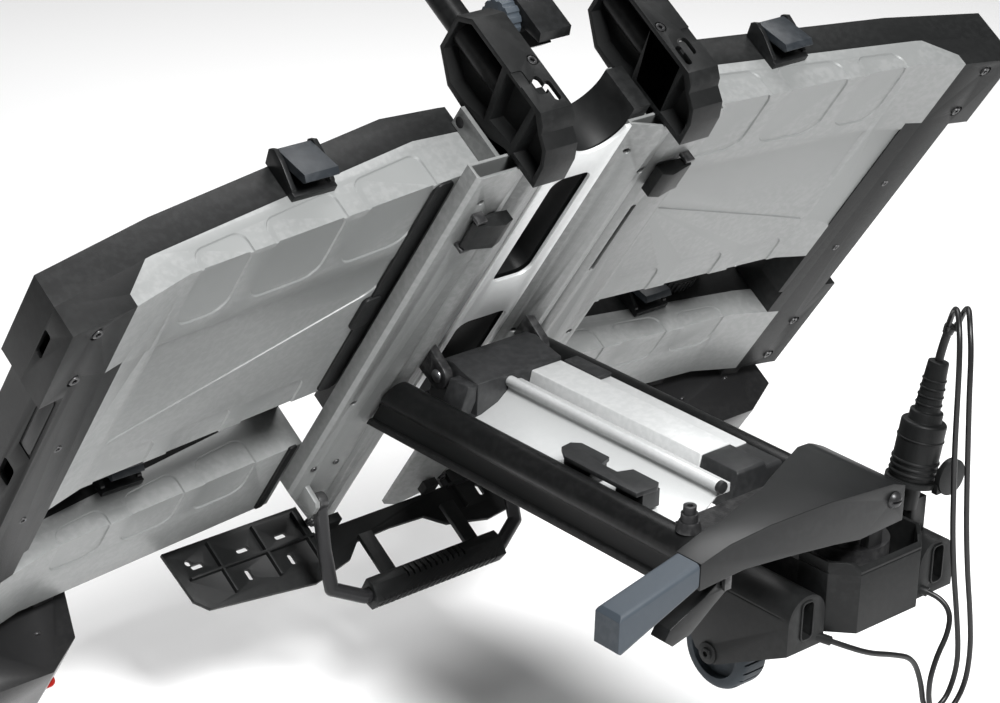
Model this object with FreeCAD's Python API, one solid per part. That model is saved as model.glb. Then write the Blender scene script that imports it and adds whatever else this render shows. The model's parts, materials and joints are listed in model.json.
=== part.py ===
"""Tow-ball cargo platform with two folding tray wings, a tilting deck and a folding upright.

Row frame: millimetres, origin at the centre of the tow ball's socket, +X to the right wing,
+Y away from the vehicle, +Z up.  The deck is drawn level in its own frame (x, p, h), with p
running away from the vehicle and h up, and is then tilted about the pivot shaft to its rest pose.
"""
import FreeCAD, Part
import math
import os

V = FreeCAD.Vector
UP = V(0, 0, 1)
ALONG = V(0, 1, 0)
ACROSS = V(1, 0, 0)
ORIGIN = V(0, 0, 0)

# ---------------------------------------------------------------- driving dimensions
CLEAR = 0.3                  # gap between parts that pass each other
RUNNING_FIT = 0.06           # radial play of a shaft in its bore

TILT = 56.75                 # degrees the deck hangs down at rest
PIVOT_Y, PIVOT_Z = 515.0, 40.0
PIVOT_P, PIVOT_H = 289.0, -70.0
SHAFT_R = 7.0

# tow ball and coupling
SOCKET_R = 25.1              # seat for a 50 mm ball
CUP_WALL = 10.0
CUP_FLOOR, CUP_TOP = -24.0, 46.0
BOX_HALF, BOX_SHOULDER = 41.0, 62.0
BOX_FRONT, BOX_SIDE_FRONT, BOX_BACK = -50.0, -28.0, 26.0
BOX_LOW, BOX_HIGH, BOX_WALL = -24.0, 48.0, 4.0
BODY_HALF = 52.0
CROSS_FRONT, CROSS_BACK = 66.0, 100.0
CROSS_LOW, CROSS_HIGH, CROSS_HALF = -14.0, 28.0, 108.0
PLUNGER_R = 8.0

# hand lever
LEVER_X, LEVER_Z = -2.0, 101.0
LEVER_BOLT_R = 5.0
CAM_R, CAM_DROP = 13.0, 6.0
LEVER_FRONT, LEVER_BACK = -48.0, 60.0
LEVER_ROOT_X, LEVER_NOSE_X = -250.0, 12.0
LEVER_WALL = 3.0
GRIP_LENGTH, GRIP_WIDTH = 94.0, 31.0
GRIP_ROOT_HIGH, GRIP_ROOT_LOW = 117.0, 91.0
GRIP_DROOP = 25.0
TRIGGER_X, TRIGGER_Z, TRIGGER_R = -206.0, 78.0, 3.0
CHEEK_HALF = 9.0
CHEEK_FRONT, CHEEK_BACK, CHEEK_THICK = -30.0, 24.0, 10.0

# chassis
TUBE_X, TUBE_R = 97.0, 16.5
TUBE_TOP, TUBE_FOOT = 30.0, -27.0
TUBE_FRONT = 100.0
TUBE_LENGTH_GAP = 3.0        # between a tube's mitred end and the beam above it
TUBE_WALL = 3.0
SILL_FRONT, SILL_BACK = 160.0, 466.0
BOX_CAP_Y = 215.0
CLAMP_Y, CLAMP_HEAD_Z = 121.0, 56.0
HOUSING_X, HOUSING_HALF = 89.0, 24.0
HOUSING_FRONT, HOUSING_BACK = -31.0, 92.0
WHEEL_Y, WHEEL_Z, WHEEL_R, WHEEL_WIDTH = 67.0, -71.0, 40.0, 34.0
AXLE_R = 6.0

# deck
BEAM_IN, BEAM_OUT = 42.0, 165.0
BEAM_TOP, BEAM_LOW = -30.0, -50.0
BEAM_FRONT, BEAM_TIP, BEAM_HEEL = -42.0, 640.0, 492.0
PLATE_TOP, PLATE_THICK = -34.0, 4.0
FRAME_HALF, FRAME_TOP = 112.0, 22.0
FRAME_FRONT, FRAME_BACK = -58.0, 430.0
WINDOW_HALF, WINDOW_FRONT, WINDOW_BACK = 26.0, 22.0, 190.0
WELL_HALF, WELL_FRONT, WELL_BACK = 34.0, 256.0, 400.0
NOTCH_HALF, NOTCH_BACK = 42.0, -8.0

# wings
FOLD_X, FOLD_H = 122.0, 60.0
KNUCKLE, KNUCKLE_R, PIN_R = 34.0, 6.5, 3.0
KNUCKLES_FIXED = (70.0, 180.0, 290.0)
KNUCKLES_MOVING = (105.0, 255.0)
WING_IN, WING_OUT, WING_NOSE = 126.0, 618.0, 117.2
TRAY_FRONT, TRAY_BACK, NOSE_BACK = -10.0, 332.0, 62.0
REAR_FRONT, REAR_BACK, REAR_IN, REAR_OUT = 443.0, 560.0, 150.0, 606.0
TOP_LINE = ((117, 57.5), (126, 58.5), (195, 63), (485, 25), (618, -1))
SEAM_LINE = ((117, 26.5), (126, 27), (177, 29.5), (502, -13.5), (618, -37))
FLOOR_LINE = ((117, -20), (157, -21.5), (480, -43), (545, -59), (618, -70))
TOP_WALL, SHELL_WALL = 3.0, 2.5
SHELL_OUT, SHELL_STEP_X, CAP_BACK, RAIL_OUT = 545.0, 523.0, 98.0, 590.0
BUCKLE_X, BUCKLE_H, BUCKLE_W = 315.0, 46.0, 50.0
STRAP_BUCKLE_X, STRAP_BUCKLE_H = 372.0, 40.0
LAMP_IN, LAMP_OUT, LAMP_BACK = 405.0, 598.0, 652.0

# upright
BRACKET_X, BRACKET_HALF = 96.5, 20.0
BRACKET_FRONT, BRACKET_BACK = -112.0, -30.0
BRACKET_TIP, BRACKET_LOW, BRACKET_HIGH = -75.0, -45.0, 98.0
FOLD_PIN_P, FOLD_PIN_H, FOLD_PIN_R = -20.0, 30.0, 6.0
LEG_P, LEG_R, LEG_FOOT = -74.0, 14.0, 16.0
FRAME_HEIGHT, FRAME_BEND = 600.0, 50.0
ARM_X, ARM_R, ARM_END = -20.0, 11.0, 118.0
HEAD_H = 86.0
KNOB_STUD_R = 4.0

# pedal and plate board
PEDAL_P, PEDAL_H, PEDAL_X, PEDAL_R = 500.0, -66.0, 132.0, 8.0
PAD_P, PAD_H, PAD_HALF = 574.0, -160.0, 92.0
BOARD_P, BOARD_THICK, BOARD_HALF = 597.0, 5.0, 275.0

# cable
PLUG_BASE, PLUG_TOP = V(80, 2, 80), V(102, 0, 194)
PLUG_R, PLUG_BODY, NECK_R = 22.0, 57.0, 11.0
TRUNK_R, STRAND_R = 4.25, 2.75
TRUNK_ROUTE = [(102, 0, 194), (104.7, -0.25, 208), (107, -3, 222)]
LEFT_ROUTE = [(103, -6.2, 232), (98, -14, 250), (85, -29, 262), (71, -45, 252), (64, -54, 228),
              (63, -57, 190), (66, -57, 140), (72, -56, 92), (78, -55, 45), (86, -55, -1),
              (96, -55, -46), (104, -56, -92), (102, -56, -118), (91, -56.5, -140), (72, -57, -145.5),
              (56, -58, -134), (50, -58, -106), (36, -57, -74), (6, -56, -60), (-24, -54, -49), (-46, -46, -38),
              (-60, -36, -31)]
RIGHT_ROUTE = [(111, -10.8, 232), (109, -18, 249), (98, -32, 260), (83, -47, 252), (75, -58, 230),
               (72, -63, 190), (75, -65, 140), (80, -65, 92), (86, -65, 45), (94, -65, -1),
               (104, -65, -46), (111, -65, -90), (107, -65, -130), (82, -65, -153), (56, -66, -134),
               (51, -66, -104), (60, -65, -78), (75, -64, -58), (82, -59, -40), (79, -46, -28),
               (74, -36, -26)]
GLAND_LENGTH, GLAND_R = 9.0, 4.6


# ---------------------------------------------------------------- small helpers
def block(x0, x1, y0, y1, z0, z1):
    """A box between two corners."""
    return Part.makeBox(x1 - x0, y1 - y0, z1 - z0, V(x0, y0, z0))


def rod(start, end, radius):
    """A round bar from one point to another."""
    line = end - start
    return Part.makeCylinder(radius, line.Length, start, line)


def prism(points, direction):
    """A flat outline of vectors pushed along a direction."""
    return Part.Face(Part.makePolygon(points + points[:1])).extrude(direction)


def side_prism(yz, x0, x1):
    """An outline in the side plane pushed across."""
    return prism([V(x0, y, z) for y, z in yz], V(x1 - x0, 0, 0))


def front_prism(xz, y0, y1):
    """An outline in the front plane pushed back."""
    return prism([V(x, y0, z) for x, z in xz], V(0, y1 - y0, 0))


def plan_prism(xy, z0, z1):
    """An outline in plan pushed up."""
    return prism([V(x, y, z0) for x, y in xy], V(0, 0, z1 - z0))


def fused(*shapes):
    """Several touching solids as one."""
    whole = shapes[0].multiFuse(list(shapes[1:]))
    return whole.removeSplitter()


def mirrored(shape):
    """The same piece on the other side of the centre plane."""
    return shape.mirror(ORIGIN, ACROSS)


def rounded(shape, radius, keep):
    """Round the edges for which keep(edge) holds."""
    edges = [edge for edge in shape.Edges if keep(edge)]
    return shape.makeFillet(radius, edges) if edges else shape


def on_deck(shape):
    """Put a piece drawn on the level deck in its rest pose."""
    placed = shape.copy()
    placed.translate(V(0, PIVOT_Y - PIVOT_P, PIVOT_Z - PIVOT_H))
    placed.rotate(V(0, PIVOT_Y, PIVOT_Z), ACROSS, -TILT)
    return placed


def save(name, *shapes):
    """Write the solids of one sub-part to its file."""
    solids = [solid for shape in shapes for solid in shape.Solids]
    whole = solids[0] if len(solids) == 1 else Part.makeCompound(solids)
    for solid in solids:
        if not solid.isValid() or solid.Volume < 1:
            print("CHECK", name, solid.isValid(), round(solid.Volume, 1))
    whole.exportStep("parts/%s.step" % name)


def save_deck(name, *shapes):
    """Write a sub-part that was drawn on the level deck."""
    save(name, *[on_deck(shape) for shape in shapes])


def save_pair(name, *shapes):
    """Write the right-hand piece and its mirror image, both drawn on the level deck."""
    save_deck("right_" + name, *shapes)
    save_deck("left_" + name, *[mirrored(shape) for shape in shapes])


# ---------------------------------------------------------------- chassis
def tube_section(grow):
    """Solid bar of the chassis tube's outline, made smaller all round by -grow."""
    radius = TUBE_R + grow
    back = PIVOT_Y + 90
    crown = rod(V(TUBE_X, TUBE_FRONT, TUBE_TOP - TUBE_R), V(TUBE_X, back, TUBE_TOP - TUBE_R), radius)
    web = block(TUBE_X - 12 - grow, TUBE_X + 12 + grow, TUBE_FRONT, back,
                TUBE_FOOT + 4 - grow, TUBE_TOP - TUBE_R)
    foot = block(TUBE_X - 16 - grow, TUBE_X + 16 + grow, TUBE_FRONT, back,
                 TUBE_FOOT - grow, TUBE_FOOT + 8 + grow)
    return fused(crown, web, foot)


def chassis_tube():
    """One black tube, hollow, with its rear end cut parallel to the tilted deck."""
    bar = tube_section(0).cut(tube_section(-TUBE_WALL))
    mitre = block(-200, 200, -200, 800, BEAM_LOW - TUBE_LENGTH_GAP, 400)
    return bar.cut(on_deck(mitre))


def trough():
    """Left sill: a dished wall from the round rim in the middle down to the left tube."""
    wall = 3.0
    edge = -TUBE_X + TUBE_R + CLEAR
    outline = [(-14, 38), (-17, 27), (-30, 17), (-52, 9), (edge, 5), (edge, 5 - wall),
               (-52, 9 - wall), (-31, 16 - wall), (-16, 25), (2, 25), (2, 38 - wall)]
    sheet = front_prism(outline, SILL_FRONT, SILL_BACK)
    rim = rod(V(-14, SILL_FRONT, 36), V(-14, SILL_BACK, 36), 6)
    return fused(sheet, rim)


def box_sill():
    """Right sill: a hollow box with a raised strip and a lower strip beside the right tube."""
    edge = TUBE_X - TUBE_R - CLEAR
    outer = [(6, -2), (16, 40), (57, 40), (60, 34), (edge, 34), (edge, -2)]
    inner = [(9.5, 1), (18.5, 37), (55, 37), (58, 31), (edge - 3, 31), (edge - 3, 1)]
    bar = front_prism(outer, BOX_CAP_Y, SILL_BACK)
    return bar.cut(front_prism(inner, BOX_CAP_Y - 1, SILL_BACK + 1))


def sill_caps():
    """Dark caps: the front of the box sill, the rear of its lower strip and the rim's end."""
    edge = TUBE_X - TUBE_R - CLEAR
    front = front_prism([(8, -2), (17, 39), (56, 39), (59, 33), (edge, 33), (edge, -2)],
                        SILL_FRONT + 5, BOX_CAP_Y)
    front = rounded(front, 4, lambda e: abs(e.BoundBox.YMax - SILL_FRONT - 5) < 0.1
                    and e.BoundBox.ZMin > 30)
    strip = block(61, edge, SILL_BACK - 54, SILL_BACK, 34, 39)
    end = rod(V(-14, SILL_FRONT - 6, 36), V(-14, SILL_FRONT, 36), 6.5)
    return [front, strip, end]


def hinge_block():
    """Dark block behind the sills that carries the pivot shaft and ties the tubes together."""
    side = [(SILL_BACK, -18), (SILL_BACK, 44), (492, 50), (506, 55), (522, 53), (530, 44),
            (536, 30), (552, -18)]
    middle = side_prism(side, -58, 58)
    waist = TUBE_X - TUBE_R - CLEAR
    tie = side_prism([(SILL_BACK, -18), (SILL_BACK, 8), (508, 8), (508, -18)], -waist, waist)
    whole = fused(middle, tie)
    whole = whole.cut(front_prism([(-40, -18), (-40, 30), (-20, 42), (-20, -18)],
                                  SILL_BACK + 14, SILL_BACK + 34))
    return whole.cut(rod(V(-80, PIVOT_Y, PIVOT_Z), V(80, PIVOT_Y, PIVOT_Z), SHAFT_R))


def trough_end():
    """Dished dark end piece that carries the trough's line down to the left tube."""
    edge = -TUBE_X + TUBE_R + CLEAR
    outline = [(-58, 44), (-60, 26), (-66, 14), (edge, 8), (edge, 20), (-76, 30), (-70, 44)]
    return front_prism(outline, SILL_BACK, PIVOT_Y - 19)


def saddle():
    """H-shaped block that lies in the trough and laps over the left tube."""
    top = [(-88, 198), (-62, 196), (-54, 202), (-54, 238), (-70, 244), (-70, 266), (-54, 272),
           (-54, 312), (-62, 320), (-76, 318), (-88, 300)]
    slab = plan_prism(top, TUBE_TOP + 1, TUBE_TOP + 6)
    legs = [block(-78, -55, y0, y0 + 38, 12, TUBE_TOP + 1) for y0 in (199, 274)]
    return fused(slab, *legs)


def clamp_bolts():
    """Socket-head bolts with stepped collars on both tubes, and the bolt the lever turns on."""
    bolts = []
    for x in (-TUBE_X + 4, TUBE_X - 4):
        foot = V(x, CLAMP_Y, TUBE_TOP + 0.2)
        collar = Part.makeCone(13, 10, 10, foot)
        neck = Part.makeCylinder(8.5, 8, foot + UP * 10)
        head = Part.makeCylinder(6.5, CLAMP_HEAD_Z - foot.z - 18, foot + UP * 18)
        socket = Part.makeCylinder(3, 5, V(x, CLAMP_Y, CLAMP_HEAD_Z - 5))
        bolts.append(fused(collar, neck, head).cut(socket))
    shank = rod(V(LEVER_X, LEVER_FRONT - 0.5, LEVER_Z), V(LEVER_X, LEVER_BACK + 3, LEVER_Z),
                LEVER_BOLT_R)
    head = Part.makeSphere(9, V(LEVER_X, LEVER_FRONT + 2.5, LEVER_Z))
    head = head.common(block(-30, 30, LEVER_FRONT - 9, LEVER_FRONT - 0.5, 60, 140))
    bolts.append(fused(shank, head))
    return bolts


def coupling_body():
    """Cast cup over the tow ball, its cross member behind and the two cheeks for the lever."""
    cup = Part.makeCylinder(SOCKET_R + CUP_WALL, CUP_TOP - CUP_FLOOR, V(0, 0, CUP_FLOOR))
    neck = block(-BODY_HALF, BODY_HALF, 10, CROSS_BACK, CROSS_LOW, CROSS_HIGH)
    cross = block(-CROSS_HALF, CROSS_HALF, CROSS_FRONT, CROSS_BACK, CROSS_LOW, CROSS_HIGH)
    tongue = block(-TUBE_X + TUBE_R + 1, TUBE_X - TUBE_R - 1, CROSS_BACK, SILL_FRONT - 8,
                   CROSS_LOW, CROSS_HIGH - 6)
    cheeks = []
    for y in (CHEEK_FRONT, CHEEK_BACK):
        post = block(LEVER_X - CHEEK_HALF, LEVER_X + CHEEK_HALF, y, y + CHEEK_THICK,
                     CUP_TOP - 6, LEVER_Z)
        eye = rod(V(LEVER_X, y, LEVER_Z), V(LEVER_X, y + CHEEK_THICK, LEVER_Z), CHEEK_HALF)
        cheeks += [post, eye]
    whole = fused(cup, neck, cross, tongue, *cheeks)
    bore = Part.makeCylinder(SOCKET_R, -CUP_FLOOR, V(0, 0, CUP_FLOOR))
    dome = Part.makeSphere(SOCKET_R, ORIGIN)
    guide = Part.makeCylinder(PLUNGER_R + RUNNING_FIT, CUP_TOP, ORIGIN)
    bolt = rod(V(LEVER_X, LEVER_FRONT, LEVER_Z), V(LEVER_X, LEVER_BACK, LEVER_Z), LEVER_BOLT_R)
    return whole.cut(bore).cut(dome).cut(guide).cut(bolt)


def plunger():
    """Pressure pin that the lever's cam pushes down on the ball."""
    top = LEVER_Z - CAM_DROP - CAM_R - 0.6
    pin = Part.makeCylinder(PLUNGER_R, top - SOCKET_R + 2, V(0, 0, SOCKET_R - 2))
    return pin.cut(Part.makeSphere(SOCKET_R + 0.4, ORIGIN))


def coupling_cover():
    """Front casing: an open-topped box with chamfered corners and a bevelled rim."""
    def outline(inset):
        return [(-BOX_HALF + inset * 0.4, BOX_FRONT + inset), (BOX_HALF - inset * 0.4, BOX_FRONT + inset),
                (BOX_SHOULDER - inset, BOX_SIDE_FRONT + inset * 0.4), (BOX_SHOULDER - inset, BOX_BACK),
                (-BOX_SHOULDER + inset, BOX_BACK), (-BOX_SHOULDER + inset, BOX_SIDE_FRONT + inset * 0.4)]
    skin = plan_prism(outline(0), BOX_LOW, BOX_HIGH)
    bevel = side_prism([(BOX_FRONT - 1, BOX_HIGH - 9), (BOX_FRONT + 8, BOX_HIGH),
                        (BOX_FRONT + 8, BOX_HIGH + 1), (BOX_FRONT - 1, BOX_HIGH + 1)], -80, 80)
    skin = skin.cut(bevel)
    hollow = plan_prism(outline(BOX_WALL), BOX_LOW - 1, BOX_HIGH + 1)
    return skin.cut(hollow).cut(block(-BODY_HALF - 20, BODY_HALF + 20, 9, 200, -40, 90))


def wheel_housing():
    """Arched casing over a transport wheel, with an upright slot in its front."""
    side = [(HOUSING_FRONT, 26), (HOUSING_FRONT, -32), (58, -80), (84, -72), (HOUSING_BACK, -60),
            (74, -20), (64, 4), (64, 26)]
    body = side_prism(side, HOUSING_X - HOUSING_HALF, HOUSING_X + HOUSING_HALF)
    arch = rod(V(HOUSING_X, HOUSING_FRONT, 0), V(HOUSING_X, HOUSING_BACK, 0), HOUSING_HALF)
    skirt = block(HOUSING_X - HOUSING_HALF, HOUSING_X + HOUSING_HALF, HOUSING_FRONT, HOUSING_BACK,
                  -90, 0)
    body = body.common(fused(arch, skirt))
    half = WHEEL_WIDTH / 2 + 2
    well = rod(V(HOUSING_X - half, WHEEL_Y, WHEEL_Z), V(HOUSING_X + half, WHEEL_Y, WHEEL_Z),
               WHEEL_R + 3)
    slot = block(HOUSING_X - 7, HOUSING_X + 7, HOUSING_FRONT - 1, HOUSING_FRONT + 12, -20, 17)
    seat = block(0, CROSS_HALF + CLEAR, CROSS_FRONT - CLEAR, CROSS_BACK + 1,
                 CROSS_LOW - CLEAR, CROSS_HIGH + 5)
    axle = rod(V(HOUSING_X - HOUSING_HALF + 0.1, WHEEL_Y, WHEEL_Z),
               V(HOUSING_X + HOUSING_HALF + 1, WHEEL_Y, WHEEL_Z), AXLE_R)
    body = body.cut(well).cut(slot).cut(seat)
    return fused(body, axle)


def wheel():
    """Transport wheel with its tyre and a bored hub."""
    half = WHEEL_WIDTH / 2
    start = V(HOUSING_X - half, WHEEL_Y, WHEEL_Z)
    end = V(HOUSING_X + half, WHEEL_Y, WHEEL_Z)
    tyre = rounded(rod(start, end, WHEEL_R), 7, lambda e: e.Length > 6 * (WHEEL_R - 1))
    dish = Part.makeCylinder(WHEEL_R - 12, 8, start, ACROSS)
    other = Part.makeCylinder(WHEEL_R - 12, 8, end - ACROSS * 8, ACROSS)
    hub = rod(start + ACROSS, end - ACROSS, 13)
    whole = fused(tyre.cut(dish).cut(other), hub)
    return whole.cut(rod(start, end, AXLE_R + RUNNING_FIT))


# ---------------------------------------------------------------- lever
def lever_side(inset):
    """Outline of the lever cover seen from the front."""
    return [(LEVER_NOSE_X - inset, 76 - 3 * inset), (LEVER_NOSE_X - inset, 112 - inset),
            (-4, 118 - inset), (-90, 126 - inset), (-165, 128 - inset), (-215, 125 - inset),
            (LEVER_ROOT_X + inset, GRIP_ROOT_HIGH - inset), (LEVER_ROOT_X + inset, GRIP_ROOT_LOW),
            (-195, 94 - 3 * inset), (-140, 88 - 3 * inset), (-80, 80 - 3 * inset), (-45, 74 - 3 * inset)]


def lever_plan(inset):
    """Outline of the lever cover seen from above: a long triangle."""
    return [(LEVER_NOSE_X + 1, LEVER_FRONT + inset), (LEVER_NOSE_X + 1, LEVER_BACK - inset - 6),
            (4, LEVER_BACK - inset), (-20, LEVER_BACK - inset - 2), (-120, 8 - inset),
            (-190, -12 - inset), (LEVER_ROOT_X, LEVER_FRONT + GRIP_WIDTH - inset),
            (LEVER_ROOT_X, LEVER_FRONT + inset)]


def lever_cover():
    """Convex three-cornered shell of the coupling lever, open below."""
    outer = front_prism(lever_side(0), LEVER_FRONT, LEVER_BACK)
    outer = outer.common(plan_prism(lever_plan(0), 50, 140))
    inner = front_prism(lever_side(LEVER_WALL), LEVER_FRONT - 1, LEVER_BACK + 1)
    inner = inner.common(plan_prism(lever_plan(LEVER_WALL), 40, 140))
    bolt = rod(V(LEVER_X, LEVER_FRONT - 5, LEVER_Z), V(LEVER_X, LEVER_BACK + 5, LEVER_Z),
               LEVER_BOLT_R + RUNNING_FIT)
    mouth = block(LEVER_X - CHEEK_HALF - 1, LEVER_NOSE_X + 2, CHEEK_FRONT - 1,
                  CHEEK_BACK + CHEEK_THICK + 1, 50, LEVER_Z + CHEEK_HALF + 1)
    return outer.cut(inner).cut(bolt).cut(mouth)


def lever_core():
    """Steel arm under the cover: a cam between the cheeks and a bar to the grip."""
    front, back = CHEEK_FRONT + CHEEK_THICK + 1, CHEEK_BACK - 1
    cam_axis = LEVER_Z - CAM_DROP
    cam = rod(V(LEVER_X - 3, front, cam_axis), V(LEVER_X - 3, back, cam_axis), CAM_R)
    bar_low = LEVER_Z - 6
    bar = plan_prism([(-14, front), (-14, 2), (LEVER_ROOT_X + 12, LEVER_FRONT + 22),
                      (LEVER_ROOT_X + 12, LEVER_FRONT + 6)], bar_low, bar_low + 12)
    trigger_pin = rod(V(TRIGGER_X, LEVER_FRONT + 8, TRIGGER_Z),
                      V(TRIGGER_X, LEVER_FRONT + 26, TRIGGER_Z), TRIGGER_R)
    stem = block(TRIGGER_X - 4, TRIGGER_X + 4, LEVER_FRONT + 8, LEVER_FRONT + 12, TRIGGER_Z - 4,
                 bar_low + 2)
    bolt = rod(V(LEVER_X, front - 1, LEVER_Z), V(LEVER_X, back + 1, LEVER_Z),
               LEVER_BOLT_R + RUNNING_FIT)
    return fused(cam, bar, stem, trigger_pin).cut(bolt)


def lever_grip():
    """Soft blue-grey handle that droops from the root of the cover."""
    end = LEVER_ROOT_X - GRIP_LENGTH
    side = [(LEVER_ROOT_X - 0.5, GRIP_ROOT_LOW + 1), (LEVER_ROOT_X - 0.5, GRIP_ROOT_HIGH),
            (end + 4, GRIP_ROOT_HIGH - GRIP_DROOP + 5), (end, GRIP_ROOT_HIGH - GRIP_DROOP),
            (end, GRIP_ROOT_LOW - GRIP_DROOP - 4), (end + 6, GRIP_ROOT_LOW - GRIP_DROOP - 8)]
    grip = front_prism(side, LEVER_FRONT + 0.5, LEVER_FRONT + GRIP_WIDTH)
    return rounded(grip, 5, lambda e: e.BoundBox.XLength > 60)


def trigger():
    """Release trigger under the grip, turning on its pin."""
    front, back = LEVER_FRONT + 13, LEVER_FRONT + 27
    side = [(TRIGGER_X + 6, TRIGGER_Z - 6), (TRIGGER_X + 6, TRIGGER_Z + 4), (TRIGGER_X - 4, TRIGGER_Z + 7),
            (TRIGGER_X - 24, TRIGGER_Z - 6), (TRIGGER_X - 64, TRIGGER_Z - 24),
            (TRIGGER_X - 70, TRIGGER_Z - 34), (TRIGGER_X - 60, TRIGGER_Z - 42),
            (TRIGGER_X - 38, TRIGGER_Z - 37), (TRIGGER_X - 12, TRIGGER_Z - 18)]
    blade = front_prism(side, front, back + 4)
    pin = rod(V(TRIGGER_X, front - 9, TRIGGER_Z), V(TRIGGER_X, back + 9, TRIGGER_Z),
              TRIGGER_R + RUNNING_FIT)
    return blade.cut(pin)


# ---------------------------------------------------------------- cable
def plug_holder():
    """Park socket for the plug: a post on the right housing, a cup, a collar and a lug."""
    axis = (PLUG_TOP - PLUG_BASE).normalize()
    post = block(HOUSING_X - 16, HOUSING_X + 4, -8, 12, 10, 60)
    post = post.cut(rod(V(HOUSING_X, -40, 0), V(HOUSING_X, 40, 0), HOUSING_HALF))
    cup = Part.makeCylinder(12, 30, PLUG_BASE - axis * 30, axis)
    collar = Part.makeCylinder(PLUG_R + 3, 5, PLUG_BASE - axis * 5, axis)
    lug = rod(V(102, -29, 84), V(102, -23, 84), 18)
    strap = block(84, 106, -27, -20.5, 70, 80)
    return fused(post, cup, collar, strap, lug)


def plug():
    """Round trailer plug with its ring and tapered neck."""
    axis = (PLUG_TOP - PLUG_BASE).normalize()
    body = Part.makeCylinder(PLUG_R, PLUG_BODY, PLUG_BASE, axis)
    body = rounded(body, 3, lambda e: e.BoundBox.ZMin > PLUG_BASE.z + 40)
    ring = Part.makeCylinder(PLUG_R - 6, 10, PLUG_BASE + axis * PLUG_BODY, axis)
    length = (PLUG_TOP - PLUG_BASE).Length - PLUG_BODY - 10
    neck = Part.makeCone(NECK_R + 1.5, NECK_R - 1, length, PLUG_BASE + axis * (PLUG_BODY + 10), axis)
    return fused(body, ring, neck)


def cord(name, route, radius):
    """A cable of straight runs and tangent arcs; prints its length, radii and volume check."""
    points = [V(*point) for point in route]
    edges, radii, length = [], [], 0
    at = points[0]
    for before, corner, after in zip(points, points[1:], points[2:]):
        back, ahead = before - corner, after - corner
        turn = math.pi - back.getAngle(ahead)
        reach = 0.45 * min(back.Length, ahead.Length)
        radii.append(reach / math.tan(turn / 2))
        start = corner + V(back).normalize() * reach
        end = corner + V(ahead).normalize() * reach
        bisector = (V(back).normalize() + V(ahead).normalize()).normalize()
        sag = radii[-1] / math.cos(turn / 2) - radii[-1]
        edges.append(Part.LineSegment(at, start).toShape())
        edges.append(Part.Arc(start, corner + bisector * sag, end).toShape())
        at = end
    edges.append(Part.LineSegment(at, points[-1]).toShape())
    length = sum(edge.Length for edge in edges)
    path = Part.Wire(edges)
    heading = points[1] - points[0]
    ring = Part.Wire(Part.Circle(points[0], heading, radius).toShape())
    tube = path.makePipeShell([ring], True, True)
    print(name, "length", round(length, 1), "least radius", round(min(radii), 1),
          "volume ratio", round(tube.Volume / (math.pi * radius ** 2 * length), 4))
    print("   radii", [round(value, 1) for value in radii])
    return tube


def splitter():
    """Moulded piece where the thick cable becomes two thin ones."""
    foot, tip = V(*TRUNK_ROUTE[-1]), (V(*LEFT_ROUTE[0]) + V(*RIGHT_ROUTE[0])) * 0.5
    heading = foot - V(*TRUNK_ROUTE[-2])
    barrel = Part.makeCylinder(TRUNK_R + 1, 6, foot, heading)
    ends = []
    for route in (LEFT_ROUTE, RIGHT_ROUTE):
        start = V(*route[0])
        way = (V(*route[1]) - start).normalize()
        ends.append(Part.makeCylinder(STRAND_R + 1, 6, start - way * 6, way))
    bridge = rod(foot, tip - V(0, 0, 2), TRUNK_R)
    return fused(barrel, bridge, *ends)


def glands():
    """The two outlets under the coupling that the thin cables leave from."""
    outlets = []
    for route in (LEFT_ROUTE, RIGHT_ROUTE):
        end = V(*route[-1])
        way = (V(*route[-1]) - V(*route[-2])).normalize()
        outlet = Part.makeCylinder(GLAND_R, 2 * GLAND_LENGTH, end, way)
        outlets.append(outlet.cut(block(-200, 200, HOUSING_FRONT, 0, -90, 20)))
    return outlets


# ---------------------------------------------------------------- deck
def beam_outline(inset):
    """Closed cross-section of a deck beam: a flat top and a grooved underside."""
    return [(BEAM_IN + inset, BEAM_TOP - inset), (BEAM_IN + inset, BEAM_TOP - 5 + inset * 0.5),
            (80, BEAM_LOW + inset), (88, BEAM_LOW + inset), (97, BEAM_LOW + 4 + inset),
            (106, BEAM_LOW + inset), (BEAM_OUT - 4, BEAM_LOW + inset), (BEAM_OUT - inset, BEAM_LOW + 4 + inset),
            (BEAM_OUT - inset, BEAM_TOP - inset)]


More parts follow.
